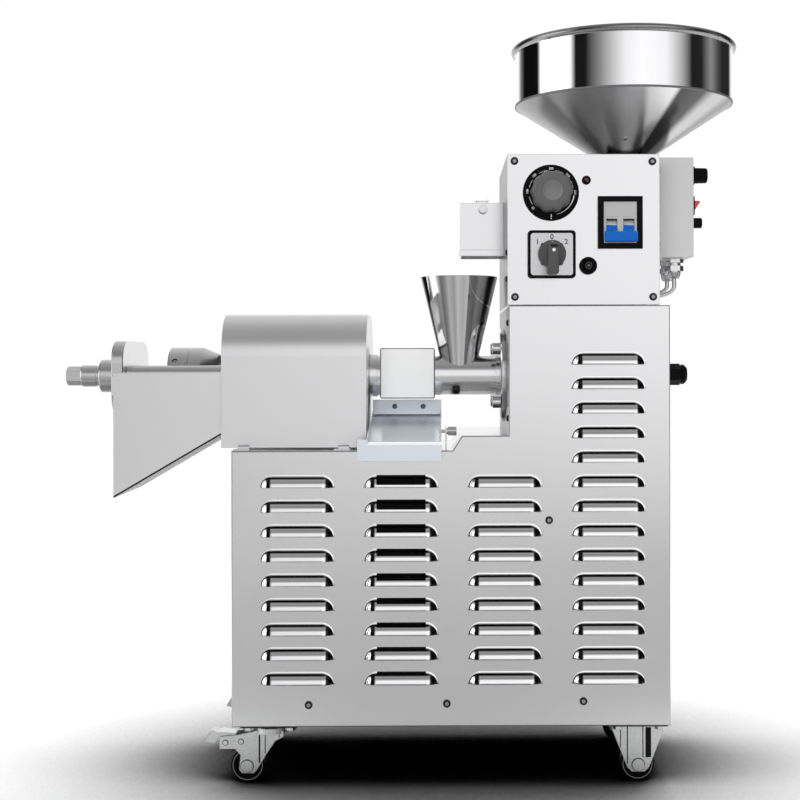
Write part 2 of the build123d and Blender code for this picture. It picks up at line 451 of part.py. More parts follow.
# ---------------------------------------------------------------- gearbox
def gear_face(n, backlash=.22, steps=4):
    rp, rb = GEAR_M * n / 2, GEAR_M * n / 2 * math.cos(math.radians(20))
    ro, rr = rp + GEAR_M * .95, rp - GEAR_M * 1.25
    inv = lambda a: math.tan(a) - a
    half = math.pi / (2 * n) - backlash / (2 * rp)
    r0 = max(rb + .01, rr + .05)
    radii = [r0 + (ro - r0) * i / (steps - 1) for i in range(steps)]
    ang = [half + inv(math.radians(20)) - inv(math.acos(rb / r)) for r in radii]
    pts = []
    for k in range(n):
        t = 2 * math.pi * k / n
        seq = [(rr, t - ang[0])] + [(r, t - a) for r, a in zip(radii, ang)] + [(r, t + a) for r, a in reversed(list(zip(radii, ang)))] + [(rr, t + ang[0])]
        pts += [(r * math.cos(a), r * math.sin(a)) for r, a in seq]
    return poly(pts)


bull = Pos(92, 0, AXIS_Z) * extrude(Plane.YZ * gear_face(GEAR_N), 25)
bull -= cyl_x(90, 120, 12.5, 0, AXIS_Z)
bull = bull.cut(*[cyl_x(90, 120, 12, 38 * math.cos(math.radians(60 * i)), AXIS_Z + 38 * math.sin(math.radians(60 * i))) for i in range(6)])
save("bull_gear", bull)
pin = Pos(90, 0, PINION_Z) * extrude(Plane.YZ * gear_face(PINION_N), 29)
pin += cyl_x(72, 184, 10, 0, PINION_Z)
pul = turn_x([(160, 10), (160, BELT_R_BIG + BELT_H + .5), (166.2, BELT_R_BIG + BELT_H + .5), (166.2, BELT_R_BIG - .4), (175.8, BELT_R_BIG - .4),
              (175.8, BELT_R_BIG + BELT_H + .5), (182, BELT_R_BIG + BELT_H + .5), (182, 10)], 0, PINION_Z)
pul = pul.cut(*[cyl_x(150, 190, 13, 34 * math.cos(math.radians(72 * i)), PINION_Z + 34 * math.sin(math.radians(72 * i))) for i in range(5)])
save("pinion_shaft", pin, pul)

case = bx(69.1, 139, -72, 72, 340, 517)
case = fillet(case.edges().filter_by(Axis.X), 12)
case -= fillet(bx(83, 140, -67, 67, 345, 512.5).edges().filter_by(Axis.X), 7)
case -= cyl_x(71, 84, 26, 0, AXIS_Z) + cyl_x(68, 72, 14, 0, AXIS_Z)
case -= cyl_x(71, 84, 18, 0, PINION_Z)
case = case.cut(*[cyl_x(68, 81, 4.05, y, z) for y, z in FB])
cover = bx(139.1, 153, -72, 72, 340, 517)
cover = fillet(cover.edges().filter_by(Axis.X), 12)
cover -= cyl_x(138, 151, 26, 0, AXIS_Z)
cover -= cyl_x(138, 151, 18, 0, PINION_Z) + cyl_x(138, 160, 10.6, 0, PINION_Z)
save("gearbox_housing", case, cover)


def bearing(x0, x1, r_in, r_out, z):
    m = (r_in + r_out) / 2
    return turn_x([(x0, r_in), (x0, m - 2), (x0 + .8, m - 2), (x0 + .8, m + 2), (x0, m + 2), (x0, r_out), (x1, r_out), (x1, m + 2), (x1 - .8, m + 2),
                   (x1 - .8, m - 2), (x1, m - 2), (x1, r_in)], 0, z)


save("shaft_bearings", bearing(71.1, 82.9, 12.56, 25.98, AXIS_Z), bearing(139.2, 150.8, 12.56, 25.98, AXIS_Z),
     bearing(71.1, 82.9, 10.06, 17.98, PINION_Z), bearing(139.2, 150.8, 10.06, 17.98, PINION_Z))

# ---------------------------------------------------------------- drive motor and belt
stator = cyl_x(-112, 70, 62, 0, MOTOR_Z)
fins = [cyl_x(-90 + 13 * i, -84 + 13 * i, 70, 0, MOTOR_Z) - cyl_x(-91 + 13 * i, -83 + 13 * i, 58.5, 0, MOTOR_Z) for i in range(11)]
stator = stator.cut(*fins)
stator += bx(-80, -50, -58, 58, 68.1, MOTOR_Z - 50) + bx(15, 45, -58, 58, 68.1, MOTOR_Z - 50)
stator -= cyl_x(-84, 44, 36, 0, MOTOR_Z)
stator -= cyl_x(-100, 80, 9.06, 0, MOTOR_Z)
save("drive_motor", stator)
rot = cyl_x(-98, 187, 9, 0, MOTOR_Z) + cyl_x(-80, 40, 35.4, 0, MOTOR_Z)
mp = turn_x([(160, 9), (160, BELT_R_SMALL + BELT_H + .5), (166.2, BELT_R_SMALL + BELT_H + .5), (166.2, BELT_R_SMALL - .4), (175.8, BELT_R_SMALL - .4),
             (175.8, BELT_R_SMALL + BELT_H + .5), (182, BELT_R_SMALL + BELT_H + .5), (182, 9)], 0, MOTOR_Z)
save("motor_rotor", rot, mp)
o = make_hull((Pos(0, PINION_Z) * Circle(BELT_R_BIG + BELT_H)).edges() + (Pos(0, MOTOR_Z) * Circle(BELT_R_SMALL + BELT_H)).edges())
i_ = make_hull((Pos(0, PINION_Z) * Circle(BELT_R_BIG)).edges() + (Pos(0, MOTOR_Z) * Circle(BELT_R_SMALL)).edges())
belt = Pos(166.6, 0, 0) * (extrude(Plane.YZ * o, 8.8) - extrude(Plane.YZ * i_, 8.8))
save("drive_belt", belt)

# ---------------------------------------------------------------- hood, chute and tray


def hood_face(inset):
    y, z1, r = HOOD_Y - inset, HOOD_Z1 - inset, HOOD_R - inset
    line = Polyline((-y + r, z1), (y - r, z1)) + JernArc((y - r, z1), (1, 0), r, -90) + Polyline((y, z1 - r), (y, HOOD_Z0 - (1 if inset else 0)),
           (-y, HOOD_Z0 - (1 if inset else 0)), (-y, z1 - r)) + JernArc((-y, z1 - r), (0, 1), r, -90)
    return make_face(line)


hood = Pos(HOOD_X0, 0, 0) * (Plane.YZ.location * extrude(hood_face(0), HOOD_X1 - HOOD_X0))
hood -= Pos(HOOD_X0 - 1, 0, 0) * (Plane.YZ.location * extrude(hood_face(1.5), HOOD_X1 - HOOD_X0 - .5))
reach = math.hypot(HINGE_Y, AXIS_Z - HINGE_Z)
clear = BARREL_R + 3.0
a0 = math.atan2(AXIS_Z - HINGE_Z, -HINGE_Y)
wedge = [(HINGE_Y, HINGE_Z)] + [(HINGE_Y + 300 * math.cos(a0 + i * .18), HINGE_Z + 300 * math.sin(a0 + i * .18)) for i in range(6)]
band = cyl_x(HOOD_X1 - 4, HOOD_X1 + 2, reach + clear, HINGE_Y, HINGE_Z) - cyl_x(HOOD_X1 - 5, HOOD_X1 + 3, reach - clear, HINGE_Y, HINGE_Z)
band &= prism_x(wedge, HOOD_X1 - 3, HOOD_X1 + 1)
hood -= band + cyl_x(HOOD_X1 - 3, HOOD_X1 + 1, clear, 0, AXIS_Z)
HINGES = (-221.0, -126.0)
for x in HINGES:
    leaf = cyl_x(x - 5, x + 5, 4, HINGE_Y, HINGE_Z) + bx(x - 5, x + 5, HOOD_Y - .2, HINGE_Y - 2, HINGE_Z, HINGE_Z + 20)
    hood += leaf - cyl_x(x - 9, x + 9, 2.08, HINGE_Y, HINGE_Z)
save("hood", hood)
hinges = []
for x in HINGES:
    lf = bx(x - 16, x + 16, HINGE_Y + 4.8, 106, DECK_LOW + .05, DECK_LOW + 2.4)
    for s in (-1, 1):
        lf += bx(x + s * 10.7 - 5.3, x + s * 10.7 + 5.3, HINGE_Y - 2, HINGE_Y + 6, DECK_LOW + .05, DECK_LOW + 2.4)
        lf += cyl_x(x + s * 10.7 - 5.3, x + s * 10.7 + 5.3, 4, HINGE_Y, HINGE_Z)
    lf += cyl_x(x - 15, x + 15, 2.0, HINGE_Y, HINGE_Z)
    hinges.append(lf)
for x in (-229.0, -119.0):
    k = bx(x - 9, x + 9, -104, -88, DECK_LOW + .05, DECK_LOW + 1.3) + cyl_x(x - 5, x + 7, 2.6, -88.6, DECK_LOW + 2.6)
    k += bx(x - 5, x + 7, -91.2, -88.6, DECK_LOW + .5, DECK_LOW + 2.6)
    hinges.append(k)
save("hood_hinges", *hinges)

CK = [(-374.6, 451), (-254.8, 451), (-254.8, 382), (-374.6, 312)]
CKY, c = 75.0, 1.2
slope = math.atan2(382 - 312, 374.6 - 254.8)
dz = c / math.cos(slope)
cake = prism_y(CK, -CKY, CKY)
cake -= prism_y([(-380, 470), (-250, 470), (-250, 382 + dz + 4.8 * math.tan(slope)), (-380, 312 + dz - 5.4 * math.tan(slope))], -CKY + c, CKY - c)
for s in (-1, 1):
    ya, yb = (71, CKY - .5) if s > 0 else (-CKY + .5, -71)
    cake += bx(-376, -367, ya, yb, 426, 447)
save("cake_chute", cake)

TX0, TX1 = -91.0, -10.0
c = 1.2
prof = [(30, 418), (30, 398), (-114.4, 374.4), (-116, 372.6), (-116, 355), (-117.2, 355), (-117.2, 373.2), (-115, 375.5), (28.8, 399), (28.8, 418)]
tray = prism_x([(y, z) for y, z in prof], TX0, TX1)
wall = [(30, 398), (-113, 374.6), (-113, 383.2), (30, 406.6)]
tray += prism_x(wall, TX0, TX0 + c) + prism_x(wall, TX1 - c, TX1)
tray += bx(-101.6, TX0 + 1, -117.2, -116, 355, 378.5)
tray += bx(-101.6, -100.4, -117.2, -112, 355, 378.5)
tray = tray.cut(*[cyl_y(26, 31, 1.8, x, z) for x, z in TRAY_SCREWS])
tray -= cyl_x(TX1 - 3, TX1 + 1, 2.2, -75, 385.5)
save("drip_tray", tray)


# ---------------------------------------------------------------- casters
def wheel(x, y):
    w = WHEEL_W / 2
    p = [(4.05, -w + 1), (7, -w + 1), (7.6, -w + 2.4), (12.6, -w + 2.4), (13.6, -w), (16.6, -w), (18.3, -w + 1.2), (WHEEL_R, -w + 4)]
    p += [(r, -t) for r, t in reversed(p)]
    s = revolve(Plane.XZ * poly(p), Axis.Z)
    return Pos(x, y, WHEEL_R) * (Rot(90, 0, 0) * s)


FORK = [(-254.5, 38), (-254.5, 51), (-232, 53), (-215, 57.5), (-184.6, 57.5), (-184.6, 51), (-193.4, 46.5), (-203.5, 31.5), (-213, 15.5), (-216.7, 11.2),
        (-229.8, 11.2), (-233, 15), (-231.4, 31), (-237.5, 38)]
RIVETS = [(-248.0, 45.0), (-231.0, 46.0)]
PEDAL_PIVOT = (-240.0, 48.0)
PEDAL = [(-271.3, 45.5), (-263.5, 58.3), (-257.3, 55.4), (-251, 55.8), (-237, 54.2), (-234.6, 48), (-237, 42.4), (-242.6, 38.6), (-246, 41), (-251, 49.6), (-256, 50), (-260.4, 43.6)]


def swivel_plate(y):
    p = bx(SWIVEL_X - 31, SWIVEL_X + 31, y - 26, y + 26, 64, 66) + cyl_z(61, 64.2, 15, SWIVEL_X, y)
    p += cyl_z(51.2, 62, 5, SWIVEL_X, y) + cyl_z(51.2, 54, 8, SWIVEL_X, y)
    return p.cut(*[cyl_z(60, 70, 3.2, SWIVEL_X + sx * BOLT_DX, y + sy * BOLT_DY) for sx in (-1, 1) for sy in (-1, 1)])


save("swivel_caster_plates", *[swivel_plate(s * CASTER_Y) for s in (-1, 1)])


def swivel_fork(y):
    f = prism_y(FORK, y - 13, y - 11) + prism_y(FORK, y + 11, y + 13)
    f += bx(-216, -184.6, y - 13, y + 13, 54.5, 57.5) + cyl_z(54.5, 60.6, 18, SWIVEL_X, y)
    f -= cyl_z(50, 64, 5.4, SWIVEL_X, y)
    for x, z in RIVETS:
        f += cyl_y(y - 14, y - 12, 2.6, x, z) + cyl_y(y + 12, y + 14, 2.6, x, z)
    f -= cyl_y(y - 20, y + 20, 4.02, LEFT_AXLE_X, WHEEL_R)
    f -= cyl_y(y - 20, y + 20, 2.5, *PEDAL_PIVOT)
    axle = cyl_y(y - 13.2, y + 13.2, 4, LEFT_AXLE_X, WHEEL_R)
    for s in (-1, 1):
        axle += cyl_y(min(y + s * 13.05, y + s * 15), max(y + s * 13.05, y + s * 15), 6.6, LEFT_AXLE_X, WHEEL_R)
    pinn = cyl_y(y - 13.4, y + 13.4, 2.48, *PEDAL_PIVOT)
    return [f, axle, pinn]


def pedal(y):
    p = prism_y(PEDAL, y - 9.6, y + 9.6)
    p -= prism_y([(-262, 30), (-230, 30), (-230, 51.6), (-256, 52.2)], y - 7.8, y + 7.8)
    p += cyl_y(y - 9.6, y - 6, 5, *PEDAL_PIVOT) + cyl_y(y + 6, y + 9.6, 5, *PEDAL_PIVOT)
    p += prism_y([(-247, 38.2), (-241, 37.4), (-239, 44), (-239, 54), (-246, 54)], y - 6.5, y + 6.5)
    return p - cyl_y(y - 20, y + 20, 2.56, *PEDAL_PIVOT)


def rigid_fork(y):
    x = RIGHT_AXLE_X
    pts = [(x - 30, 64.5), (x + 30, 64.5), (x + 28, 57), (x + 12, 16), (x + 7, 11.2), (x - 7, 11.2), (x - 12, 16), (x - 28, 57)]
    f = prism_y(pts, y - 13, y - 11) + prism_y(pts, y + 11, y + 13)
    f += bx(x - 31, x + 31, y - 26, y + 26, 64, 66)
    f = f.cut(*[cyl_z(58, 70, 3.2, x + sx * BOLT_DX, y + sy * BOLT_DY) for sx in (-1, 1) for sy in (-1, 1)])
    f -= cyl_y(y - 20, y + 20, 4.02, x, WHEEL_R)
    axle = cyl_y(y - 13.2, y + 13.2, 4, x, WHEEL_R)
    for s in (-1, 1):
        axle += cyl_y(min(y + s * 13.05, y + s * 15), max(y + s * 13.05, y + s * 15), 6.6, x, WHEEL_R)
    return [f, axle]


for nm, y in (("front", -CASTER_Y), ("rear", CASTER_Y)):
    save(nm + "_left_fork", *swivel_fork(y))
    save(nm + "_left_pedal", pedal(y))
    save(nm + "_left_wheel", wheel(LEFT_AXLE_X, y))
    save(nm + "_right_wheel", wheel(RIGHT_AXLE_X, y))
save("rigid_caster_forks", *(rigid_fork(-CASTER_Y) + rigid_fork(CASTER_Y)))

lo = [min(b.min.X for *_, b in COUNT), min(b.min.Y for *_, b in COUNT), min(b.min.Z for *_, b in COUNT)]
hi = [max(b.max.X for *_, b in COUNT), max(b.max.Y for *_, b in COUNT), max(b.max.Z for *_, b in COUNT)]
print(len(COUNT), "nodes", sum(k for _, k, *_ in COUNT), "solids; box", [round(v, 2) for v in lo], [round(v, 2) for v in hi])
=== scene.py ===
import json
import math

import bmesh
import bpy
from mathutils import Euler, Matrix, Vector
from mathutils.geometry import delaunay_2d_cdt

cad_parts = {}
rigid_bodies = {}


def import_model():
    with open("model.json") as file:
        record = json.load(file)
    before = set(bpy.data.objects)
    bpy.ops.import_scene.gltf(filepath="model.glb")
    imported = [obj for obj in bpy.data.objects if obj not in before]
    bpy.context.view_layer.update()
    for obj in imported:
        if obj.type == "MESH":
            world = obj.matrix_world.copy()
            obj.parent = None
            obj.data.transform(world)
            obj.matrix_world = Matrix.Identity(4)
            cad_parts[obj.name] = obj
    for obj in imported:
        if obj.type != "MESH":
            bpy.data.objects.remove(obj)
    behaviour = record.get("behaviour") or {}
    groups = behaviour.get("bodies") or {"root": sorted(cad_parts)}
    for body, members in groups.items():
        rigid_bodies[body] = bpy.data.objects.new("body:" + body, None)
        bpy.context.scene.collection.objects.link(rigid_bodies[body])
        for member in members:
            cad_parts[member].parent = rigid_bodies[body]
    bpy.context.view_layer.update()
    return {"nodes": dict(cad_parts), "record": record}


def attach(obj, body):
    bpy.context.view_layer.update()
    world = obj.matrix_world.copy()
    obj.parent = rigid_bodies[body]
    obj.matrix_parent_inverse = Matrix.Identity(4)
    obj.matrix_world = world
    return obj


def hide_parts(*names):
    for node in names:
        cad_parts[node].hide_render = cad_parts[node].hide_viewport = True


for o in list(bpy.data.objects):
    bpy.data.objects.remove(o)
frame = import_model()
NODES = frame["nodes"]
scene = bpy.context.scene

# Working frame in millimetres: X from the cabinet's middle, Y from its mid-plane, Z from the floor.
SHIFT = Vector((56.0, 7.0, 0.0))


def P(x, y, z):
    return (Vector((x, y, z)) + SHIFT) / 1000.0


# ------------------------------------------------------------------ materials
def new_nodes(name):
    m = bpy.data.materials.new("look_" + name)
    m.use_nodes = True
    nt = m.node_tree
    nt.nodes.clear()
    out = nt.nodes.new("ShaderNodeOutputMaterial")
    b = nt.nodes.new("ShaderNodeBsdfPrincipled")
    nt.links.new(b.outputs[0], out.inputs[0])
    return m, nt, b


def add(nt, kind, **props):
    n = nt.nodes.new("ShaderNode" + kind)
    for k, v in props.items():
        setattr(n, k, v)
    return n


def math_node(nt, op, a, b=None, clamp=False):
    n = add(nt, "Math", operation=op, use_clamp=clamp)
    for i, v in enumerate((a, b)):
        if v is None:
            continue
        if isinstance(v, (int, float)):
            n.inputs[i].default_value = v
        else:
            nt.links.new(v, n.inputs[i])
    return n.outputs[0]


def noise(nt, coord, scale, detail=3.0, rough=0.55, stretch=None, seed=0.0):
    v = coord
    if stretch is not None:
        mp = add(nt, "Mapping")
        mp.inputs["Scale"].default_value = stretch
        mp.inputs["Location"].default_value = (seed, seed * 0.7, seed * 1.3)
        nt.links.new(coord, mp.inputs["Vector"])
        v = mp.outputs[0]
    n = add(nt, "TexNoise")
    n.inputs["Scale"].default_value = scale
    n.inputs["Detail"].default_value = detail
    n.inputs["Roughness"].default_value = rough
    nt.links.new(v, n.inputs["Vector"])
    return n.outputs["Fac"]


def surface(name, base, metallic, rough, streak=None, streak_scale=1.0, rough_var=0.05, col_var=0.04, blotch=9.0, bump=0.05, bump_mm=0.05,
            grain=None, edge=None, edge_col=None, edge_gain=0.35, coat=0.0, spec=None, aniso=0.0, fine=900.0, shade=None):
    """Principled surface with brushed or moulded grain, uneven gloss and lighter edges that are part wear, part
    painted highlight.
    streak stretches the fine noise so that it runs as brushing; edge is the rounding of edges in mm;
    shade paints shade and reflections into the colour: it darkens faces by the direction they look in: (axis,
    ((component, tone), ...))."""
    m, nt, b = new_nodes(name)
    L = nt.links.new
    b.inputs["Metallic"].default_value = metallic
    if coat:
        b.inputs["Coat Weight"].default_value = coat
        b.inputs["Coat Roughness"].default_value = 0.12
    if spec is not None:
        b.inputs["Specular IOR Level"].default_value = spec
    if aniso:
        b.inputs["Anisotropic"].default_value = aniso
    co = add(nt, "TexCoord").outputs["Object"]
    big = noise(nt, co, blotch, 4.0, 0.6)
    small = noise(nt, co, streak_scale if streak else fine, 4.0, 0.6, streak or (1, 1, 1))
    # colour
    ramp = add(nt, "ValToRGB")
    e = ramp.color_ramp.elements
    e[0].position, e[1].position = 0.28, 0.74
    e[0].color = [max(0.0, c * (1 - col_var)) for c in base] + [1]
    e[1].color = [min(1.0, c * (1 + col_var)) for c in base] + [1]
    fac = math_node(nt, "ADD", math_node(nt, "MULTIPLY", big, 0.65), math_node(nt, "MULTIPLY", small, 0.35))
    L(fac, ramp.inputs[0])
    colour = ramp.outputs[0]
    normal = None
    if edge:
        bev = add(nt, "Bevel", samples=4)
        bev.inputs["Radius"].default_value = edge / 1000.0
        geo = add(nt, "NewGeometry")
        dot = add(nt, "VectorMath", operation="DOT_PRODUCT")
        L(bev.outputs[0], dot.inputs[0])
        L(geo.outputs["Normal"], dot.inputs[1])
        # lighter colour on the rounded edges: partly wear, partly a painted highlight
        edge_wear_and_highlight = math_node(nt, "MULTIPLY", math_node(nt, "SUBTRACT", 1.0, dot.outputs["Value"], True), 5.0, True)
        edge_wear_and_highlight = math_node(nt, "MULTIPLY", edge_wear_and_highlight, math_node(nt, "MULTIPLY", noise(nt, co, 160.0, 3.0), edge_gain * 2), True)
        mix = add(nt, "Mix", data_type="RGBA")
        L(edge_wear_and_highlight, mix.inputs["Factor"])
        L(colour, mix.inputs[6])
        mix.inputs[7].default_value = list(edge_col or [min(1, c * 1.15 + 0.02) for c in base]) + [1]
        colour = mix.outputs[2]
        normal = bev.outputs[0]
    # painted shade and painted reflections: the colour is darkened by the direction each face looks in
    for axis, stops in shade or ():
        way = add(nt, "SeparateXYZ")
        L(add(nt, "NewGeometry").outputs["Normal"], way.inputs[0])
        tone = add(nt, "ValToRGB")
        el = tone.color_ramp.elements
        while len(el) < len(stops):
            el.new(0.5)
        for k, (at, v) in zip(el, stops):
            k.position, k.color = (at + 1) / 2, (v, v, v, 1)
        L(math_node(nt, "MULTIPLY", math_node(nt, "ADD", way.outputs[axis], 1.0), 0.5), tone.inputs[0])
        mul = add(nt, "Mix", data_type="RGBA", blend_type="MULTIPLY")
        mul.inputs["Factor"].default_value = 1.0
        L(colour, mul.inputs[6])
        L(tone.outputs[0], mul.inputs[7])
        colour = mul.outputs[2]
    L(colour, b.inputs["Base Color"])
    # gloss
    mr = add(nt, "MapRange")
    mr.inputs["From Min"].default_value, mr.inputs["From Max"].default_value = 0.3, 0.7
    mr.inputs["To Min"].default_value, mr.inputs["To Max"].default_value = max(0.02, rough - rough_var), min(1, rough + rough_var)
    L(math_node(nt, "ADD", math_node(nt, "MULTIPLY", big, 0.5), math_node(nt, "MULTIPLY", small, 0.5)), mr.inputs["Value"])
    L(mr.outputs[0], b.inputs["Roughness"])
    # grain
    h = small
    if grain:
        h = math_node(nt, "ADD", small, math_node(nt, "MULTIPLY", noise(nt, co, grain, 2.0), 0.8))
    bp = add(nt, "Bump")
    bp.inputs["Strength"].default_value = bump
    bp.inputs["Distance"].default_value = bump_mm / 1000.0
    L(h, bp.inputs["Height"])
    if normal is not None:
        L(normal, bp.inputs["Normal"])
    L(bp.outputs[0], b.inputs["Normal"])
    return m
